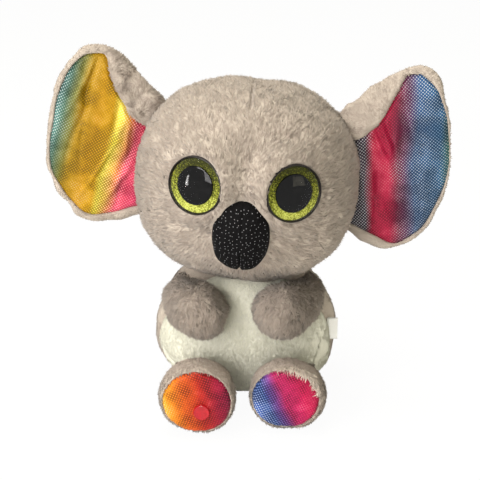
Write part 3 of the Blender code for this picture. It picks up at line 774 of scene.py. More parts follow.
def head_form():
    """The head: a rounded box, puffed round the eyes, with darts and wrinkles."""
    segments, rings = HEAD_CAGE
    swell = 1 / math.cos(math.pi / segments)
    half = Vector((HEAD_WIDTH, HEAD_DEPTH, HEAD_HEIGHT)) / 2

    def place(point, _ring, _turn):
        length = sum(abs(part) ** HEAD_ROUNDNESS for part in point) ** (1 / HEAD_ROUNDNESS)
        return Vector(swell * half[i] * point[i] / length for i in range(3))

    def relief(points):
        x, y, z = points.T
        front = ease(0.02, -0.02, y)
        height = 0.0007 * waves(points, 0.034, 11)
        for depth, width, start, full in DARTS:
            height -= depth * hill(x - DART_SIDE, width) * ease(start, full, z) * front
        over_nose = hill(x, 0.016) * hill(z - 0.0160, 0.0065) * front
        turns = (z - FOLD_START) * math.tau / FOLD_PITCH
        return height + 0.0014 * np.cos(turns + 14 * np.abs(x)) * over_nose

    mesh = cage_mesh("head", segments, rings, place, 4)
    points = puffed(mesh, relief)
    round_nose = nose_share(moved(points, nose_frame().inverted() @ HEAD_FRAME))
    for _, side in SIDES:
        to_eye = eye_frame(side).inverted() @ HEAD_FRAME
        u, v, w = moved(points, to_eye).T
        reach = np.hypot(u, v)
        near = np.abs(w) < 0.03

        # Points close to the eye's rim move onto it, so that the hole is round
        snap = near & (np.abs(reach - EYE_RADIUS) < 0.0009)
        grown = np.where(snap, (EYE_RADIUS + 0.0002) / np.maximum(reach, 1e-6), 1)
        u, v, reach = u * grown, v * grown, reach * grown

        # The cover stands up round the eye, higher towards the nose and less under its pad
        level = PUFF_LEVEL - PUFF_SLANT * side * u / EYE_RADIUS
        share = 1 - ease(EYE_RADIUS + 0.001, EYE_RADIUS + PUFF_WIDTH, reach)
        share = share * (0.72 + 0.28 * ease(0.98, 1.2, round_nose)) * near
        w = w + share * np.maximum(level - w, 0)

        sunk = near & (reach < EYE_RADIUS + 0.0001)
        floor = -EYE_HOLE_DEPTH * ease(EYE_RADIUS + 0.0001, EYE_RADIUS - 0.0018, reach)
        w = np.where(sunk, np.minimum(w, floor), w)
        points = moved(np.stack((u, v, w), axis=1), to_eye.inverted())
    set_points(mesh, points)
    return mesh


def nose_form():
    """The nose pad, cleft below and faintly above, clear of the head."""
    segments, rings = NOSE_CAGE
    swell = 1 / math.cos(math.pi / segments)
    wide, proud, long = (swell * part for part in (NOSE_WIDTH / 2, NOSE_PROUD, NOSE_LENGTH / 2))

    def place(point, _ring, _turn):
        length = sum(abs(part) ** NOSE_ROUNDNESS for part in point) ** (1 / NOSE_ROUNDNESS)
        x, y, z = (part / length for part in point)
        return Vector((wide * x * (1 - NOSE_TOP_SHARE * y), -proud * z, long * y))

    def relief(points):
        x, _, z = points.T
        cleft = ease(-0.002, -0.012, z) + 0.35 * ease(0.004, 0.012, z)
        return -0.0018 * hill(x - 0.0006, 0.0009) * cleft + 0.0005 * waves(points, 0.013, 51)

    mesh = cage_mesh("nose", segments, rings, place, 4)
    settle(mesh, puffed(mesh, relief), nose_frame(), ["head"], NOSE_GAP)
    return mesh


def body_form():
    """The body, drawn in along its side seam, clear of the head."""
    rows = []
    for height, wide, deep, back in BODY_ROWS_SHARE:
        half = BODY_DEPTH / 2
        rows.append((0, back * half, height * BODY_HEIGHT, wide * BODY_WIDTH / 2, deep * half))

    def relief(points):
        return 0.0009 * waves(points, 0.036, 21) - 0.0016 * hill(seam_distance(points), 0.0022)

    mesh = cage_mesh("body", 16, len(rows) - 1, ring_place(rows, 16), 4)
    settle(mesh, puffed(mesh, relief), Matrix(), ["head"], COVER_GAP, COVER_GAP)
    return mesh


def seam_distance(points):
    """How far behind the side seam each point lies."""
    return (points[:, 1] - SEAM_FRONT + math.tan(SEAM_LEAN) * points[:, 2]) * math.cos(SEAM_LEAN)


def half_body(mesh, name, back):
    """The part of the body in front of its side seam, or behind it, closed at the seam."""
    bm = bmesh.new()
    bm.from_mesh(mesh)
    way = Vector((0, math.cos(SEAM_LEAN), math.sin(SEAM_LEAN)))
    spot = Vector((0, SEAM_FRONT, 0)) + way * (CLEARANCE / 2 if back else -CLEARANCE / 2)
    cut = bmesh.ops.bisect_plane(
        bm, geom=[*bm.verts, *bm.edges, *bm.faces], plane_co=spot, plane_no=way, clear_inner=back,
        clear_outer=not back,
    )
    edges = [part for part in cut["geom_cut"] if isinstance(part, bmesh.types.BMEdge)]
    bmesh.ops.triangle_fill(bm, use_beauty=True, use_dissolve=False, edges=edges)
    bmesh.ops.recalc_face_normals(bm, faces=bm.faces)
    made = bpy.data.meshes.new(name)
    bm.to_mesh(made)
    bm.free()
    return made


def arm_form(side):
    """An arm with its paw, narrower above the paw and bent in on the left, clear of body and head."""
    rows = []
    for along, wide, out in reversed(ARM_ROWS_SHARE):
        wide *= 1 - 0.13 * float(hill(np.array(along - 0.30), 0.28))
        if side > 0:
            out -= 0.16 * float(hill(np.array(along - 0.72), 0.3))
        x = side * out * ARM_HALF
        rows.append((x, 0, along * ARM_LENGTH - ARM_ROOT, wide * ARM_HALF, wide * ARM_HALF))
    mesh = cage_mesh("arm", LIMB_SEGMENTS, len(rows) - 1, ring_place(rows, LIMB_SEGMENTS), 4)
    points = puffed(mesh, lambda spots: 0.0008 * waves(spots, 0.02, 31 + side))
    settle(mesh, points, arm_frame(side), ["body", "head"], COVER_GAP)
    return mesh


def sole_share(label, points):
    """How far out from the sole's middle each point is; 1 is the sole's rim."""
    x, y, wide, high = SOLE_MIDDLE_AND_RADII[label]
    return np.hypot((points[:, 0] - x) / wide, (points[:, 1] - y) / high)


def leg_form(label, side):
    """A leg with its foot, flatter on top, clear of the body and the floor."""
    end = leg_reach(side)
    rows = [(0, 0, along * end, wide * LEG_HALF, wide * LEG_HALF) for along, wide in reversed(LEG_ROWS_SHARE)]
    mesh = cage_mesh("leg", LIMB_SEGMENTS, len(rows) - 1, ring_place(rows, LIMB_SEGMENTS), 4)
    points = puffed(mesh, lambda spots: 0.0007 * waves(spots, 0.024, 41 + side))
    foot = ease(0.25, 0.72, points[:, 2] / end)
    flatter = LEG_TOP_SHARE + (FOOT_TOP_SHARE[label] - LEG_TOP_SHARE) * foot
    points[:, 1] = np.where(points[:, 1] > 0, points[:, 1] * flatter, points[:, 1])
    settle(mesh, points, leg_frame(side), ["body"], COVER_GAP, COVER_GAP)
    return mesh


def landed(tree, starts, way, axis, otherwise):
    """Where rays land on a form, as places along an axis; otherwise is for those that miss it."""
    places = np.empty(len(starts))
    for index, start in enumerate(starts):
        spot, _, _, _ = tree.ray_cast(Vector(start), Vector(way))
        places[index] = spot[axis] if spot else otherwise
    return places


def sole_patch(label, side, tree):
    """A foil sole laid on the end of its foot, puckered and drawn in at its rim."""
    x, y, wide, high = SOLE_MIDDLE_AND_RADII[label]
    end = leg_reach(side)
    angles = np.linspace(0, math.tau, 180, endpoint=False)
    edge = 1 + 0.012 * np.sin(5 * angles + side) + 0.008 * np.sin(9 * angles)
    outline = np.stack((x + wide * edge * np.cos(angles), y + high * edge * np.sin(angles)), axis=1)
    patch, flat, shares = disc_mesh("sole", outline, np.array((x, y)), 36)
    starts = np.column_stack((flat, np.full(len(flat), end + 0.02)))
    rises = landed(tree, starts, (0, 0, -1), 2, end - 0.004)
    turn = np.arctan2(flat[:, 1], flat[:, 0])
    pucker = np.sin(turn * 41) * 0.00022 + np.sin(turn * 23 + 1) * 0.0003
    rises += 0.0006 + pucker * ease(0.78, 1, shares) - 0.0026 * ease(0.86, 1.0, shares) ** 2
    set_points(patch, np.column_stack((flat, rises)))
    faced(patch, (0, 0, 1))
    return patch


def smooth_outline(shares, count, side, swell=0.0):
    """A closed smooth curve through an ear's outline points, in metres, in its own plane."""
    middle = np.array(EAR_MIDDLE_SHARE) * (EAR_REACH, EAR_RISE)
    corners = np.array(shares) * (EAR_REACH, EAR_RISE)
    spokes = corners - middle
    corners = middle + spokes * (1 + swell / np.linalg.norm(spokes, axis=1))[:, None]
    total = len(corners)
    spots = []
    for step in range(count):
        start, part = divmod(step * total / count, 1)
        p0, p1, p2, p3 = (corners[(int(start) + k) % total] for k in (-1, 0, 1, 2))
        spot = 2 * p1 + (p2 - p0) * part + (2 * p0 - 5 * p1 + 4 * p2 - p3) * part**2
        spots.append((spot + (3 * p1 - p0 - 3 * p2 + p3) * part**3) / 2)
    return np.array(spots) * (side, 1)


def inside_by(flat, outline):
    """How far inside an outline each flat point lies; outside it is below zero."""
    ends = np.roll(outline, -1, axis=0)
    best = np.full(len(flat), np.inf)
    crossings = np.zeros(len(flat), int)
    for start, end in zip(outline, ends):
        span = end - start
        share = np.clip((flat - start) @ span / (span @ span), 0, 1)
        best = np.minimum(best, np.linalg.norm(flat - start - share[:, None] * span, axis=1))
        above = (start[1] > flat[:, 1]) != (end[1] > flat[:, 1])
        if span[1] != 0:
            cross = start[0] + (flat[:, 1] - start[1]) / span[1] * span[0]
            crossings += above & (flat[:, 0] < cross)
    return np.where(crossings % 2 == 1, best, -best)


def fitted(points, outline, middle):
    """Draws a form's rim out or in, seen flat, so that it meets an outline."""
    spokes = points[:, (0, 2)] - middle
    reach = np.linalg.norm(spokes, axis=1)
    angles = np.arctan2(spokes[:, 1], spokes[:, 0])
    sectors = 120
    places = np.round(angles / math.tau * sectors).astype(int) % sectors
    rim = np.zeros(sectors)
    np.maximum.at(rim, places, reach)
    centres = np.arange(sectors)[rim > 0] / sectors * math.tau
    rim = rim[rim > 0]
    wanted = outline - middle
    turns = np.arctan2(wanted[:, 1], wanted[:, 0]) % math.tau
    order = np.argsort(turns)
    reaches = np.linalg.norm(wanted, axis=1)[order]
    target = np.interp(angles % math.tau, turns[order], reaches, period=math.tau)
    grown = target / np.interp(angles % math.tau, centres, rim, period=math.tau)
    points = points.copy()
    points[:, 0] = middle[0] + spokes[:, 0] * grown
    points[:, 2] = middle[1] + spokes[:, 1] * grown
    return points


def ear_form(label, side):
    """The ear's pile cover, before it is hollowed for its lining."""
    middle = np.array(EAR_MIDDLE_SHARE) * (EAR_REACH, EAR_RISE)
    outline = []
    for share_x, share_z in EAR_OUTLINE_SHARE:
        spoke = np.array((share_x * EAR_REACH, share_z * EAR_RISE)) - middle
        outline.append(middle + spoke * (1 + EAR_SWELL / np.linalg.norm(spoke)))

    def place(_point, ring, turn):
        across, through = EAR_RINGS_SHARE[ring]
        spot = middle + across * (outline[turn] - middle)
        return Vector((side * spot[0], -through * EAR_THICKNESS / 2, spot[1]))

    mesh = cage_mesh("ear", len(outline), len(EAR_RINGS_SHARE) - 1, place, 4)
    edge = smooth_outline(EAR_EDGE_SHARE[label], 240, side, -PILE_EDGE)
    set_points(mesh, fitted(points_of(mesh), edge, middle * (side, 1)))
    return mesh


def ear_creases(flat, side, seed):
    """The lining's creases, which run roughly along the ear, as a height."""
    rng = np.random.default_rng(seed)
    total = np.zeros(len(flat))
    for _ in range(18):
        angle = math.radians(-90) + side * 0.22 + rng.uniform(-0.28, 0.28)
        start = np.array((rng.uniform(0.004, 0.060) * side, rng.uniform(-0.040, 0.055)))
        way = np.array((math.cos(angle), math.sin(angle)))
        along = (flat - start) @ way
        across = (flat - start) @ np.array((-way[1], way[0]))
        bend = across - rng.uniform(-6, 6) * along * np.abs(along)
        reach = rng.uniform(0.012, 0.032)
        width = rng.uniform(0.0014, 0.0030)
        rise = rng.choice((-1, 1), p=(0.45, 0.55)) * rng.uniform(0.5, 1)
        total += rise * hill(bend, width) * hill(along, reach)
    return total


def lining_outline(label, side):
    return smooth_outline(LINING_EDGE_SHARE[label], 210, side)


def lining_patch(label, side, tree, crease):
    """A foil lining laid on the front of its ear, creased, with its rim tucked in, clear of the head."""
    place = ear_frame(side)
    outline = lining_outline(label, side)
    centre = np.array((0.42 * EAR_REACH * side, 0.12 * EAR_RISE))
    patch, flat, _ = disc_mesh("lining", outline, centre, 54)
    deep = inside_by(flat, outline)
    starts = np.column_stack((flat[:, 0], np.full(len(flat), -0.05), flat[:, 1]))
    depths = landed(tree, starts, (0, 1, 0), 1, -0.003)
    creases = ear_creases(flat, side, 61 + side) * crease
    depths += 0.0004 - creases * ease(0.0, 0.006, deep) + 0.0017 * ease(0.0028, 0.0, deep)
    world = moved(np.column_stack((flat[:, 0], depths, flat[:, 1])), place)
    points = moved(pressed(world, [form("head")], EAR_GAP), place.inverted())
    points[:, 1] = np.minimum(points[:, 1], -0.0008)
    set_points(patch, points)
    faced(patch, (0, -1, 0))
    return patch


def hollow_ear(mesh, label, side):
    """Sinks the ear's cover behind its lining, with a raised border and folds beside the head."""
    outline = lining_outline(label, side)
    points = points_of(mesh)
    deep = inside_by(points[:, (0, 2)], outline)
    front = points[:, 1] < 0
    border = hill(deep + 0.0035, 0.003) * front
    folds = ease(0.28, 0.5, points[:, 2] / EAR_RISE) * ease(0.75, 0.5, side * points[:, 0] / EAR_REACH)
    folds = (0.0006 if side > 0 else 0.0009) * folds * ease(0.0005, -0.0035, points[:, 1])
    lumps = 0.0004 * waves(points, 0.018, 71 + side) + folds * waves(points, 0.012, 75 + side)
    points = points + normals_of(mesh) * (0.0010 * border + lumps)[:, None]
    points[:, 1] += np.where(front, 0.0040 * ease(-0.0003, 0.0016, deep), 0)
    points[:, 1] = np.where(front & (deep > 0), np.minimum(points[:, 1], 0.001), points[:, 1])
    settle(mesh, points, ear_frame(side), ["head"], EAR_GAP)


def disc_mesh(name, outline, centre, rings):
    """A patch of rings about a centre, its points seen flat, and each one's share of the way out."""
    count = len(outline)
    shares = np.concatenate(((0,), np.repeat(np.linspace(1 / rings, 1, rings), count)))
    flat = np.concatenate(([centre], *(centre + (outline - centre) * (k + 1) / rings for k in range(rings))))
    faces = [(0, 1 + k, 1 + (k + 1) % count) for k in range(count)]
    for ring in range(rings - 1):
        low = 1 + ring * count
        for k in range(count):
            after = (k + 1) % count
            faces.append((low + k, low + count + k, low + count + after, low + after))
    mesh = bpy.data.meshes.new(name)
    mesh.from_pydata([(x, z, 0) for x, z in flat], [], faces)
    return mesh, flat, shares


def faced(mesh, way):
    """Turns a patch's faces so that they look along a way."""
    if np.sum(normals_of(mesh) @ np.array(way)) < 0:
        mesh.flip_normals()


def thickened(mesh, thickness, name):
    """A patch made into thin closed cloth."""
    made = bpy.data.objects.new(name, mesh)
    bpy.context.scene.collection.objects.link(made)
    wall = made.modifiers.new("Cloth", "SOLIDIFY")
    wall.thickness = thickness
    wall.offset = -1
    fine = bpy.data.meshes.new_from_object(made.evaluated_get(bpy.context.evaluated_depsgraph_get()))
    bpy.data.objects.remove(made)
    fine.name = name
    return fine


def turned_mesh(name, profile, segments=96):
    """A closed turned mesh: its profile of (radius, height) runs from top to bottom."""
    verts, faces, rows = [], [], []
    for radius, height in profile:
        if radius == 0:
            rows.append([len(verts)])
            verts.append((0, 0, height))
            continue
        rows.append(list(range(len(verts), len(verts) + segments)))
        for k in range(segments):
            angle = math.tau * k / segments
            verts.append((radius * math.cos(angle), radius * math.sin(angle), height))
    pairs = list(zip(rows, rows[1:]))
    if profile[0][0] > 0:
        pairs.append((rows[-1], rows[0]))
    for top, low in pairs:
        for k in range(segments):
            after = (k + 1) % segments
            quad = [top[k % len(top)], low[k % len(low)], low[after % len(low)], top[after % len(top)]]
            faces.append(tuple(dict.fromkeys(quad)))
    mesh = bpy.data.meshes.new(name)
    mesh.from_pydata(verts, [], faces)
    bm = bmesh.new()
    bm.from_mesh(mesh)
    bmesh.ops.recalc_face_normals(bm, faces=bm.faces)
    bm.to_mesh(mesh)
    bm.free()
    return mesh


def sharpen(made, angle=40):
    """Smooth faces with sharp edges kept."""
    made.data.shade_smooth()
    made.data.set_sharp_from_angle(angle=math.radians(angle))


# Foil cloth and other finishes

def foil(name, stops, pale, way, turn, pitch, start=-0.022, length=0.044, upward="Y", depth=0.08):
    """Printed foil cloth: a run of colours along way, with a grid of dots that are painted near white as a
    glint where they gleam, as pale says.
    """
    made, shader = new_material(name, Roughness=0.42, Metallic=0.10, Specular_IOR_Level=0.22)
    spot = place_of(made)
    along = add_node(made, "ShaderNodeVectorMath", operation="DOT_PRODUCT")
    link(made, spot, along.inputs[0])
    along.inputs[1].default_value = way
    wander = calc(made, "MULTIPLY_ADD", noise(made, 30, 1, spot), 0.008, -0.004 - start)
    share = calc(made, "DIVIDE", calc(made, "ADD", along.outputs["Value"], wander), length)
    colour = ramp(made, share, stops)

    # Each dot is full in its middle and gone at its rim
    turned = add_node(made, "ShaderNodeMapping", vector_type="TEXTURE", Rotation=turn)
    link(made, spot, turned.inputs["Vector"])
    grid = add_node(made, "ShaderNodeTexVoronoi", voronoi_dimensions="2D", Scale=1 / pitch, Randomness=0.0)
    link(made, flat_place(made, turned.outputs["Vector"], upward), grid.inputs["Vector"])
    dots = held(made, calc(made, "MULTIPLY_ADD", grid.outputs["Distance"], -7.5, 2.6), 0.0, 1.0)

    # The dots are painted near white in patches as painted glints. The gaps between them are darker where
    # they don't gleam, partly the print's darker gaps and partly painted shade.
    glint_patches = noise(made, 42, 3, spot)
    level = ramp(made, share, [(position, (value, value, value)) for position, value in pale])
    bright = calc(made, "ADD", level, calc(made, "MULTIPLY_ADD", glint_patches, 1.1, -0.60))
    bright = held(made, bright, 0.0, 1.0)
    deep = held(made, calc(made, "MULTIPLY_ADD", glint_patches, -4.0, 2.55), 0.15, 0.8)
    gaps = calc(made, "MULTIPLY", calc(made, "SUBTRACT", 1.0, dots), deep)
    shade = ramp(made, share, [(position, scaled(tone, depth)) for position, tone in stops])
    ground = blend_colours(made, gaps, colour, shade)
    # Painted glint: the dots that gleam are painted near white.
    gleam = calc(made, "MULTIPLY", calc(made, "MULTIPLY", dots, bright), 0.95)
    link(made, blend_colours(made, gleam, ground, (0.90, 0.94, 0.94)), shader.inputs["Base Color"])
    bump(made, shader, dots, 0.00025, 0.7)
    return made


def glitter(name, colour):
    """Film full of small bright flakes, dimmer at the top where the brow shades it."""
    made, shader = new_material(name, Roughness=0.5, Specular_IOR_Level=0.15)
    spot = place_of(made)
    cells = add_node(made, "ShaderNodeTexVoronoi", Scale=1500.0)
    link(made, spot, cells.inputs["Vector"])
    tone = add_node(made, "ShaderNodeSeparateColor")
    link(made, cells.outputs["Color"], tone.inputs["Color"])
    place = add_node(made, "ShaderNodeSeparateXYZ")
    link(made, spot, place.inputs["Vector"])
    shaded = calc(made, "MULTIPLY_ADD", place.outputs["Y"], -34.0, -0.12)
    flakes = calc(made, "ADD", calc(made, "MULTIPLY", tone.outputs["Red"], 0.9), shaded)
    light = tuple(min(1, 1.9 * part + 0.08) for part in colour)
    stops = ((0.05, scaled(colour, 0.10)), (0.40, scaled(colour, 0.7)), (0.66, colour), (0.95, light))
    link(made, ramp(made, flakes, stops), shader.inputs["Base Color"])
    bump(made, shader, tone.outputs["Green"], 0.0005, 0.8)
    return made


def gloss(name, colour, roughness, coat=0.6, shine=0.25):
    """Moulded plastic, slightly mottled, with a clear sharp coat."""
    made, shader = new_material(
        name, Roughness=roughness, Coat_Weight=coat, Coat_Roughness=0.03, Specular_IOR_Level=shine
    )
    mottled = ramp(made, noise(made, 300, 2), ((0.3, colour), (0.7, scaled(colour, 0.8))))
    link(made, mottled, shader.inputs["Base Color"])
    bump(made, shader, noise(made, 120, 1), 0.00005, 0.3)
    return made


def clear_dome(name):
    """Clear plastic that shows the eye behind it, with a gloss towards its edge."""
    made, shader = new_material(name, Roughness=0.02)
    made.node_tree.nodes.remove(shader)
    shine = add_node(made, "ShaderNodeBsdfGlossy", Roughness=0.015, Color=(1, 1, 1, 1))
    through = add_node(made, "ShaderNodeBsdfTransparent")
    edge = add_node(made, "ShaderNodeLayerWeight", Blend=0.5)
    gleam = calc(made, "MULTIPLY", calc(made, "POWER", edge.outputs["Facing"], 4.0), 0.35)
    show_mixed(made, gleam, through, shine)
    return made


def nose_cloth(name, colour):
    """Black knit with small glitter dots."""
    made, shader = new_material(name, Roughness=0.75, Specular_IOR_Level=0.06)
    spot = place_of(made)
    knit = noise(made, 900, 3, spot)
    ground = ramp(made, knit, ((0.35, scaled(colour, 0.6)), (0.7, scaled(colour, 1.5))))
    dots = add_node(made, "ShaderNodeTexVoronoi", voronoi_dimensions="2D", Scale=370.0, Randomness=0.7)
    link(made, flat_place(made, spot, "Z"), dots.inputs["Vector"])
    bright = calc(made, "LESS_THAN", dots.outputs["Distance"], 0.08)
    link(made, blend_colours(made, bright, ground, (0.30, 0.30, 0.32)), shader.inputs["Base Color"])
    bump(made, shader, knit, 0.0005, 0.6)
    return made


def satin(name, colour):
    """Pale ribbon with a fine weave."""
    made, shader = new_material(name, Roughness=0.42, Sheen_Weight=0.3)
    weave = add_node(made, "ShaderNodeTexWave", Scale=900.0, Distortion=0.6, bands_direction="Z")
    link(made, place_of(made), weave.inputs["Vector"])
    threads = ramp(made, weave.outputs["Fac"], ((0.1, scaled(colour, 0.86)), (0.9, colour)))
    link(made, threads, shader.inputs["Base Color"])
    bump(made, shader, weave.outputs["Fac"], 0.0001, 0.5)
    return made


# What a user would change

def length_setting(name, description, default):
    return FloatProperty(name=name, description=description, unit="LENGTH", default=default)


def colour_setting(name, description, default):
    return FloatVectorProperty(
        name=name, description=description, subtype="COLOR", min=0, max=1, default=default
    )


class KoalaFur(bpy.types.PropertyGroup):
    grey: colour_setting("Grey pile", "Colour of the grey pile", (0.66, 0.57, 0.485))
    white: colour_setting("Belly pile", "Colour of the belly", (0.90, 0.89, 0.76))
    head_pile: length_setting("Head pile", "Pile length on the head", 0.0034)
    ear_pile: length_setting("Ear pile", "Pile length on the ears", 0.0013)
    body_pile: length_setting("Body pile", "Pile length on the body", 0.0022)
    limb_pile: length_setting("Limb pile", "Pile length on the limbs", 0.0040)
    strand: length_setting("Strand width", "Width of a strand of pile", 0.00045)
    density: FloatProperty(
        name="Pile density", description="Share of the full number of strands", min=0.01, max=1, default=1
    )


class KoalaFoil(bpy.types.PropertyGroup):
    pitch: length_setting("Dot pitch", "Distance between the foil's dots", 0.0016)
    crease: length_setting("Crease height", "Height of the lining's creases", 0.0020)


class KoalaFace(bpy.types.PropertyGroup):
    iris: colour_setting("Iris", "Colour of the glitter ring", (0.26, 0.28, 0.026))
    nose: colour_setting("Nose", "Colour of the nose", (0.004, 0.0038, 0.004))
    badge: colour_setting("Badge", "Colour of the badge", (0.42, 0.003, 0.010))


class KoalaStage(bpy.types.PropertyGroup):
    floor: colour_setting("Floor", "Colour of the floor", (0.90, 0.90, 0.90))
    key: FloatProperty(name="Key light", description="Power of the main light", unit="POWER", default=11)
    fill: FloatProperty(
        name="Front light", description="Power of the low front light", unit="POWER", default=11.5
    )
    sky: FloatProperty(name="Room light", description="Strength of the light all round", min=0, default=0.44)


def fur_finishes(context):
    """The grey backing, the white backing and their pile shades, made once."""
    wanted = context.scene.koala_fur
    found = bpy.data.materials
    if "grey_backing" not in found:
        # The backings take their fur colours darkened, as painted shade among the roots of the pile.
        fur_backing("grey_backing", scaled(wanted.grey, 0.72))
        fur_backing("white_backing", scaled(wanted.white, 0.82))
        steps = (
            (0.58, 0.56, 0.56), (0.80, 0.79, 0.80), (0.99, 0.98, 1.0), (1.18, 1.18, 1.18), (1.42, 1.41, 1.38),
        )
        pile_shades("grey_pile", tuple(wanted.grey), steps)
        steps = ((0.82, 0.82, 0.80), (0.94, 0.94, 0.93), (1.0, 1.0, 1.0), (1.08, 1.08, 1.10))
        pile_shades("white_pile", tuple(wanted.white), steps)
    grey, white = ([m for m in found if m.name.startswith(name)] for name in ("grey_pile", "white_pile"))
    return found["grey_backing"], found["white_backing"], grey, white


class KOALA_OT_head(bpy.types.Operator):
    """Sew the head's cover."""

    bl_idname = "koala.head"
    bl_label = "Head"

    def execute(self, context):
        grey, _, _, _ = fur_finishes(context)
        made = add_object("head", head_form(), [grey], "head", HEAD_FRAME)
        state_soft(made, "grey_fur", 0.95, "head_cover", "head_stuffing")
        keep_form(made)
        return {"FINISHED"}


class KOALA_OT_nose(bpy.types.Operator):
    """Sew the nose pad, with its cleft and glitter dots."""

    bl_idname = "koala.nose"
    bl_label = "Nose"

    def execute(self, context):
        cloth = nose_cloth("nose_cloth", tuple(context.scene.koala_face.nose))
        made = add_object("nose", nose_form(), [cloth], "head", nose_frame())
        state_soft(made, "nose_cloth", 0.95, "nose_cover", "nose_stuffing")
        keep_form(made)
        return {"FINISHED"}


class KOALA_OT_eyes(bpy.types.Operator):
    """Turn the eyes: rim, glitter disc, pupil and clear dome."""

    bl_idname = "koala.eyes"
    bl_label = "Eyes"

    def execute(self, context):
        black = gloss("eye_black", (0.003, 0.003, 0.003), 0.6, 0.4, 0.0)
        rim = gloss("eye_rim", (0.010, 0.007, 0.006), 0.45, 0.1)
        film = glitter("eye_glitter", tuple(context.scene.koala_face.iris))
        clear = clear_dome("eye_dome")
        inner = EYE_RADIUS - 0.0011
        cup = (
            (0, 0.0010), (inner, 0.0010), (inner, 0.0036), (inner + 0.0004, 0.0041),
            (EYE_RADIUS - 0.0002, 0.0039), (EYE_RADIUS, 0.0034), (EYE_RADIUS, -0.0046), (0, -0.0046),
        )
        iris = ((0, 0.0021), (0.0178, 0.0021), (0.0178, 0.0013), (0, 0.0013))
        pupil = (
            (0, 0.0046), (0.006, 0.0044), (0.0112, 0.0037), (0.0126, 0.0032), (0.0128, 0.0024), (0, 0.0024),
        )
        angles = [math.pi / 2 * step / 24 for step in range(25)]
        dome = [(0.0180 * math.sin(angle), 0.0032 + 0.0058 * math.cos(angle)) for angle in angles]
        dome += [
            (0.0178, 0.0030), (0.0130, 0.0030), (0.0127, 0.0034), (0.0113, 0.0040),
            (0.0060, 0.0047), (0, 0.0049),
        ]
        for label, side in SIDES:
            for part, profile, finish, slot in (
                ("cup", cup, rim, "black_plastic"),
                ("iris", iris, film, "glitter_film"),
                ("pupil", pupil, black, "black_plastic"),
                ("lens", dome, clear, "clear_plastic"),
            ):
                mesh = turned_mesh(f"eye_{part}", profile)
                made = add_object(f"{part}_{label}", mesh, [finish], "head", eye_frame(side))
                sharpen(made)
                washer = [f"eye_washer_{label}"] if part == "cup" else []
                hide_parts(f"eye_{part}_{label}", *washer)
        return {"FINISHED"}


class KOALA_OT_body(bpy.types.Operator):
    """Sew the white belly and the grey back."""

    bl_idname = "koala.body"
    bl_label = "Body"

    def execute(self, context):
        grey, white, _, _ = fur_finishes(context)
        whole = body_form()
        FORMS["body"] = tree_of(whole)
        belly = add_object("belly", half_body(whole, "belly", False), [white], "body")
        back = add_object("back", half_body(whole, "back", True), [grey], "body")
        state_soft(belly, "white_fur", 0.85, "belly_panel")
        state_soft(back, "grey_fur", 0.85, "back_panel", "body_stuffing", "pellet_bag")
        keep_form(belly)
        keep_form(back)
        return {"FINISHED"}


class KOALA_OT_arms(bpy.types.Operator):
    """Sew the arms."""

    bl_idname = "koala.arms"
    bl_label = "Arms"

    def execute(self, context):
        grey, _, _, _ = fur_finishes(context)
        for label, side in SIDES:
            made = add_object(f"arm_{label}", arm_form(side), [grey], f"arm_{label}", arm_frame(side))
            state_soft(made, "grey_fur", 0.85, f"arm_cover_{label}", f"arm_stuffing_{label}")
            keep_form(made)
        return {"FINISHED"}


class KOALA_OT_legs(bpy.types.Operator):
    """Sew the legs with their foil soles."""

    bl_idname = "koala.legs"
    bl_label = "Legs and soles"

    def execute(self, context):
        grey, _, _, _ = fur_finishes(context)
        pitch = context.scene.koala_foil.pitch
        for label, side in SIDES:
            body = f"leg_{label}"
            place = leg_frame(side)
            mesh = leg_form(label, side)
            patch = sole_patch(label, side, tree_of(mesh))
            finish = foil(pitch=pitch, **SOLE_PRINTS[label])
            sole = add_object(f"foot_sole_{label}", thickened(patch, 0.0007, "sole"), [finish], body, place)
            state_soft(sole, SOLE_SLOTS[label], 0.9, f"sole_{label}")

            # The foot is sunk behind its sole
            points = points_of(mesh)
            end_face = ease(0.80 * leg_reach(side), 0.88 * leg_reach(side), points[:, 2])
            points[:, 2] -= 0.0034 * ease(1.01, 0.91, sole_share(label, points)) * end_face
            set_points(mesh, points)
            made = add_object(f"leg_{label}", mesh, [grey], body, place)
            state_soft(made, "grey_fur", 0.9, f"leg_cover_{label}", f"leg_stuffing_{label}")
            keep_form(made)
        return {"FINISHED"}


class KOALA_OT_badge(bpy.types.Operator):
    """Turn the plain badge on the right sole."""

    bl_idname = "koala.badge"
    bl_label = "Badge"

    def execute(self, context):
        place = leg_frame(-1) @ Matrix.Translation((0.0034, -0.0065, leg_reach(-1)))
        profile = (
            (0, 0.0021), (0.0030, 0.0020), (0.0043, 0.0022), (0.0049, 0.0024), (0.0053, 0.0020),
            (0.0054, 0.0012), (0.0052, -0.0030), (0, -0.0030),
        )
        finish = gloss("badge_red", tuple(context.scene.koala_face.badge), 0.25)
        made = add_object("badge_disc", turned_mesh("badge", profile), [finish], "leg_right", place)
        sharpen(made, 60)
        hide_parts("badge")
        return {"FINISHED"}


class KOALA_OT_ears(bpy.types.Operator):
    """Sew the ears with their creased foil linings."""

    bl_idname = "koala.ears"
    bl_label = "Ears"

    def execute(self, context):
        grey, _, _, _ = fur_finishes(context)
        wanted = context.scene.koala_foil
        for label, side in SIDES:
            body = f"ear_{label}"
            place = ear_frame(side)
            mesh = ear_form(label, side)
            patch = lining_patch(label, side, tree_of(mesh), wanted.crease)
            finish = foil(pitch=wanted.pitch, upward="Z", depth=0.20, **EAR_PRINTS[label])
            cloth = thickened(patch, 0.0006, "lining")
            lining = add_object(f"ear_foil_{label}", cloth, [finish], body, place)
            state_soft(lining, LINING_SLOTS[label], 0.4, f"ear_lining_{label}")
            hollow_ear(mesh, label, side)
            made = add_object(f"ear_{label}", mesh, [grey], body, place)
            state_soft(made, "grey_fur", 0.5, f"ear_back_{label}", f"ear_padding_{label}")
            keep_form(made)
        return {"FINISHED"}


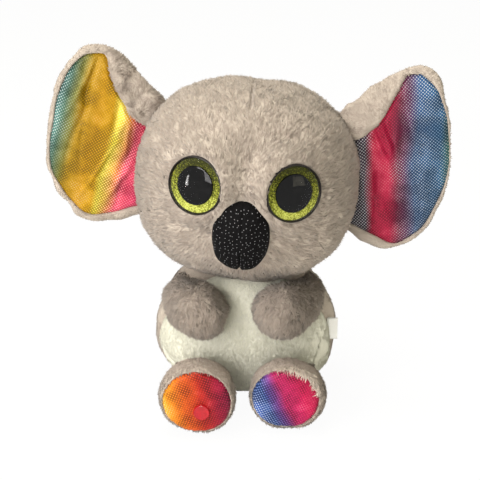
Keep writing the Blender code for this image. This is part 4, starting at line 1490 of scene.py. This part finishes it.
class KOALA_OT_tag(bpy.types.Operator):
    """Fold the bare satin tag in the side seam."""

    bl_idname = "koala.tag"
    bl_label = "Side tag"

    def execute(self, _context):
        low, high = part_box("side_tag")
        high.x -= 0.0028
        spots = []
        faces = []
        steps, rows = 24, 16
        for step in range(steps + 1):
            bend = math.pi * (step / steps)
            x = low.x + (high.x - low.x) * math.sin(bend) ** 0.6
            y = (low.y + high.y) / 2 - 0.0006 * math.cos(bend)
            for row in range(rows + 1):
                share = row / rows
                sway = 0.0008 * math.sin(share * 3.1) * math.sin(bend)
                spots.append((x, y + sway, low.z + (high.z - low.z) * share))
                if step < steps and row < rows:
                    first = step * (rows + 1) + row
                    faces.append((first, first + 1, first + rows + 2, first + rows + 1))
        mesh = bpy.data.meshes.new("tag")
        mesh.from_pydata(spots, [], faces)
        finish = satin("tag_satin", (0.90, 0.90, 0.87))
        made = add_object("seam_tag", thickened(mesh, 0.00025, "tag"), [finish], "body")
        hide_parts("side_tag")
        return {"FINISHED"}


class KOALA_OT_pile(bpy.types.Operator):
    """Grow the pile on every sewn cover."""

    bl_idname = "koala.pile"
    bl_label = "Pile"

    def execute(self, context):
        wanted = context.scene.koala_fur
        _, _, grey, white = fur_finishes(context)
        eyes = [eye_frame(side).inverted() for _, side in SIDES]
        to_nose = nose_frame().inverted()
        to_head = HEAD_FRAME.inverted()

        def bare_face(points):
            keep = np.ones(len(points))
            for to_eye in eyes:
                seen = moved(points, to_eye)
                keep *= (np.hypot(seen[:, 0], seen[:, 1]) > EYE_RADIUS + 0.0003) | (seen[:, 2] < -0.02)
            seen = moved(points, to_nose)
            return keep * ((nose_share(seen) > 0.97) | (seen[:, 1] > 0.01))

        def head_comb(points):
            seen = moved(points, to_head)
            out = (seen - np.array((0, 0, -0.012))) * (1, 0, 1)
            out /= np.maximum(np.linalg.norm(out, axis=1), 0.004)[:, None]
            ways = out + np.array((0, 0.7, 0)) + np.array((0.25, 0, 0)) * waves(points, 0.03, 91)[:, None]
            for to_eye in eyes:
                near = moved(points, to_eye)
                reach = np.hypot(near[:, 0], near[:, 1])
                pull = (1.6 * hill(np.maximum(reach - EYE_RADIUS, 0), 0.004))[:, None]
                out = near * (1, 1, 0) / np.maximum(reach, 1e-6)[:, None]
                ways = ways + pull * (out @ np.array(to_eye.inverted().to_3x3()).T)
            return ways

        def bridge(points):
            x, y, z = moved(points, to_head).T
            return hill(x, 0.018) * hill(z - 0.0215, 0.0065) * (y < 0)

        def folds(points):
            x, _, z = moved(points, to_head).T
            return np.sin((z - FOLD_START) * math.tau / FOLD_PITCH + 16 * np.abs(x)) * bridge(points)

        def wrinkles(points):
            return folds(points)[:, None] * np.array(HEAD_FRAME.to_3x3() @ Vector((0, 0, 1.1)))

        # Painted light and shade on the head's pile: darker in the folds above the nose as painted crease
        # shade, darker low on the left of the face as a painted shadow, and lighter on the crown as painted
        # top light.
        def head_painted_light_and_shade(points):
            x, _, z = moved(points, to_head).T
            # The painted shadow low on the left of the face, under the chin.
            under = ease(-0.010, -0.058, z) * ease(0.0, 0.050, x)
            return 0.43 + 0.22 * folds(points) - 0.48 * under + 0.20 * ease(0.025, 0.06, z)

        def head_length(points):
            return wanted.head_pile * (1 - 0.45 * bridge(points))

        grow_pile("head_pile", "head", grey, "head", 56000, head_length, head_comb, 101,
                  room=["body"], lean=1.24, keep=bare_face, curl=0.2, relief=wrinkles, mean=head_painted_light_and_shade)

        def down(points):
            return np.tile((0.0, -0.25, -1.0), (len(points), 1))

        def off_seam(points):
            return (np.abs(seam_distance(points)) > 0.0006).astype(float)

        near = ["head", *(f"{part}_{label}" for part in ("arm", "leg") for label, _ in SIDES)]
        for name, shades, count, seed in (("belly", white, 18000, 111), ("back", grey, 18000, 121)):
            grow_pile(f"{name}_pile", name, shades, "body", count, wanted.body_pile, down, seed,
                      room=near, lean=1.2, keep=off_seam, ruffle=0.3, mean=0.42)
        for label, side in SIDES:
            along = np.array(arm_frame(side).to_3x3() @ Vector((0, 0, 1)))

            def arm_comb(points, along=along):
                return np.tile(0.5 * along, (len(points), 1)) + np.array((0, 0, -0.8))

            # The arm pile's tone is set high, as painted light: the arms are painted lighter than the head's
            # pile of the same grey.
            grow_pile(f"arm_pile_{label}", f"arm_{label}", grey, f"arm_{label}", 11000,
                      wanted.limb_pile, arm_comb, 131 + side, room=["body", "head"], patch=0.009, lean=1.05,
                      spread=0.0009, mean=0.95, ruffle=1.4)

            def leg_comb(points):
                return np.tile((0.0, -0.7, -0.6), (len(points), 1))

            to_leg = leg_frame(side).inverted()

            def off_sole(points, to_leg=to_leg, label=label, end=leg_reach(side)):
                seen = moved(points, to_leg)
                return 1 - ((sole_share(label, seen) < 0.99) & (seen[:, 2] > 0.8 * end))

            # Painted light on the legs: their pile is painted lighter than the head's, and lighter still on
            # top of the foot.
            def leg_painted_light(points, to_leg=to_leg):
                return 0.68 + 0.40 * ease(0.3, 0.8, moved(points, to_leg)[:, 1] / LEG_HALF)

            def lifted(points, to_leg=to_leg):
                on_top = ease(0.2, 0.8, moved(points, to_leg)[:, 1] / LEG_HALF)
                return on_top[:, None] * np.array((-0.2, -1.3, 0))

            grow_pile(f"leg_pile_{label}", f"leg_{label}", grey, f"leg_{label}", 11000,
                      0.52 * wanted.limb_pile, leg_comb, 141 + side, room=["body"], lean=1.15, patch=0.009,
                      keep=off_sole, mean=leg_painted_light, relief=lifted, ruffle=1.3)
            place = ear_frame(side)
            to_ear = place.inverted()
            outline = lining_outline(label, side)
            middle = moved(np.array([(side * 0.4 * EAR_REACH, 0, 0.05 * EAR_RISE)]), place)[0]

            def off_lining(points, to_ear=to_ear, outline=outline):
                seen = moved(points, to_ear)
                return 1 - ((inside_by(seen[:, (0, 2)], outline) > 0.0002) & (seen[:, 1] < 0))

            def hollow(points, to_ear=to_ear, side=side):
                seen = moved(points, to_ear)
                inner = ease(0.0005, -0.0035, seen[:, 1])
                high = ease(0.22, 0.42, seen[:, 2] / EAR_RISE)
                high = high * ease(0.72, 0.55, side * seen[:, 0] / EAR_REACH)
                return high * inner * (0.5 if side > 0 else 1.0)

            def ear_comb(points, middle=middle, hollow=hollow):
                swirl = np.stack([waves(points, 0.016, 161 + k) for k in range(3)], axis=1)
                ways = (points - middle) * (0.7, 0.2, 0.7) / 0.05 + np.array((0, 1.3, -0.2))
                return ways + 1.8 * hollow(points)[:, None] * swirl

            def ear_length(points, hollow=hollow, usual=wanted.ear_pile):
                return usual * (1 + 1.6 * hollow(points))

            # Painted shade in the ear's hollow beside the head: its pile is painted darker there, more on the
            # left ear, with a fine swirl of lighter and darker tone.
            def ear_painted_shade(points, hollow=hollow, shade=0.85 if side > 0 else 0.25):
                return 0.45 + hollow(points) * (0.35 * waves(points, 0.0045, 171) - shade)

            grow_pile(f"ear_pile_{label}", f"ear_{label}", grey, f"ear_{label}", 15000, ear_length,
                      ear_comb, 151 + side, room=["head"], lean=1.42, curl=0.2, keep=off_lining,
                      mean=ear_painted_shade, ruffle=0.4, spread=0.0006)
        to_leg = leg_frame(1).inverted()

        def over_sole(points):
            seen = moved(points, to_leg)
            turn = np.arctan2(seen[:, 1], seen[:, 0])
            high = (turn > math.radians(8)) & (turn < math.radians(112)) & (seen[:, 2] > 0.93 * leg_reach(1))
            return (high & (np.abs(sole_share("left", seen) - 1.03) < 0.05)).astype(float)

        def inwards(points):
            seen = moved(points, to_leg) * (-1, -1, 0) + np.array((0, -0.012, 0))
            return seen @ np.array(leg_frame(1).to_3x3()).T / 0.02

        grow_pile("sole_fringe", "leg_left", [grey[3], grey[4], white[0]], "leg_left", 520, 0.0052,
                  inwards, 171, lean=0.95, curl=0.25, keep=over_sole, spread=0.0005)
        return {"FINISHED"}


class KOALA_OT_stage(bpy.types.Operator):
    """Lay the pale floor, and set the lights and the camera."""

    bl_idname = "koala.stage"
    bl_label = "Stage"

    def execute(self, context):
        scene = context.scene
        wanted = scene.koala_stage
        bm = bmesh.new()
        bmesh.ops.create_grid(bm, x_segments=8, y_segments=8, size=6)
        mesh = bpy.data.meshes.new("floor")
        bm.to_mesh(mesh)
        bm.free()
        floor = bpy.data.objects.new("floor", mesh)
        scene.collection.objects.link(floor)
        made, shader = new_material("floor_paper", Roughness=0.9, Specular_IOR_Level=0.1)
        shader.inputs["Base Color"].default_value = (*wanted.floor, 1)
        lit = add_node(made, "ShaderNodeEmission", Strength=1.0)
        show_mixed(made, calc(made, "MULTIPLY", seen_plainly(made), 0.95), shader, lit)
        mesh.materials.append(made)

        world = bpy.data.worlds.new("room")
        scene.world = world
        world.use_nodes = True
        sky = world.node_tree.nodes["Background"]
        sky.inputs["Color"].default_value = (1.0, 0.97, 0.78, 1)
        sky.inputs["Strength"].default_value = wanted.sky
        paper = add_node(world, "ShaderNodeBackground", Color=(1, 1, 1, 1), Strength=0.96)
        show_mixed(world, seen_plainly(world), sky, paper, "World Output")

        for name, spot, size, power, tint in (
            ("key", (-0.85, -1.05, 1.0), (0.5, 0.5), wanted.key, (1.0, 0.97, 0.93)),
            ("window", (-1.10, -0.66, 0.12), (0.08, 0.24), 0.14 * wanted.key, (1.0, 0.98, 0.96)),
            ("front", (-0.45, -1.35, 0.48), (0.8, 0.5), wanted.fill, (1.0, 0.97, 0.97)),
            ("side", (1.05, -0.75, 0.25), (0.4, 0.4), 0.08 * wanted.fill, (1.0, 0.92, 0.70)),
            ("top", (-0.20, 0.05, 1.4), (0.9, 0.8), 1.6 * wanted.key, (1.0, 0.97, 0.88)),
        ):
            lamp = bpy.data.lights.new(name, "AREA")
            lamp.shape = "RECTANGLE"
            lamp.size, lamp.size_y = size
            lamp.energy = power
            lamp.color = tint
            holder = bpy.data.objects.new(name, lamp)
            scene.collection.objects.link(holder)
            holder.location = spot
            holder.rotation_euler = (AIM - Vector(spot)).to_track_quat("-Z", "Y").to_euler()

        flat = math.cos(CAMERA_LIFT)
        eye = Vector((math.sin(CAMERA_TURN) * flat, -math.cos(CAMERA_TURN) * flat, math.sin(CAMERA_LIFT)))
        lens = bpy.data.cameras.new("camera")
        lens.lens = LENS
        lens.sensor_width = 36
        camera = bpy.data.objects.new("camera", lens)
        scene.collection.objects.link(camera)
        camera.location = AIM + eye * CAMERA_FAR
        camera.rotation_euler = (-eye).to_track_quat("-Z", "Y").to_euler()
        scene.camera = camera
        scene.view_settings.view_transform = "Standard"
        return {"FINISHED"}


STEPS = (
    KOALA_OT_head, KOALA_OT_nose, KOALA_OT_eyes, KOALA_OT_body, KOALA_OT_arms, KOALA_OT_legs,
    KOALA_OT_badge, KOALA_OT_ears, KOALA_OT_tag, KOALA_OT_pile, KOALA_OT_stage,
)
SETTINGS = (
    ("koala_fur", KoalaFur),
    ("koala_foil", KoalaFoil),
    ("koala_face", KoalaFace),
    ("koala_stage", KoalaStage),
)


class KOALA_PT_panel(bpy.types.Panel):
    """Lists the koala's pieces and settings."""

    bl_idname = "KOALA_PT_panel"
    bl_label = "Plush koala"
    bl_space_type = "VIEW_3D"
    bl_region_type = "UI"
    bl_category = "Koala"

    def draw(self, context):
        for name, group in SETTINGS:
            box = self.layout.box()
            for key in group.__annotations__:
                box.prop(getattr(context.scene, name), key)
        for step in STEPS:
            self.layout.operator(step.bl_idname)


def register():
    for name, group in SETTINGS:
        bpy.utils.register_class(group)
        setattr(bpy.types.Scene, name, PointerProperty(type=group))
    for made in (*STEPS, KOALA_PT_panel):
        bpy.utils.register_class(made)


def unregister():
    for made in (KOALA_PT_panel, *reversed(STEPS)):
        bpy.utils.unregister_class(made)
    for name, group in reversed(SETTINGS):
        delattr(bpy.types.Scene, name)
        bpy.utils.unregister_class(group)


def main():
    register()
    for step in STEPS:
        group, name = step.bl_idname.split(".")
        getattr(getattr(bpy.ops, group), name)()


if __name__ == "__main__":
    main()
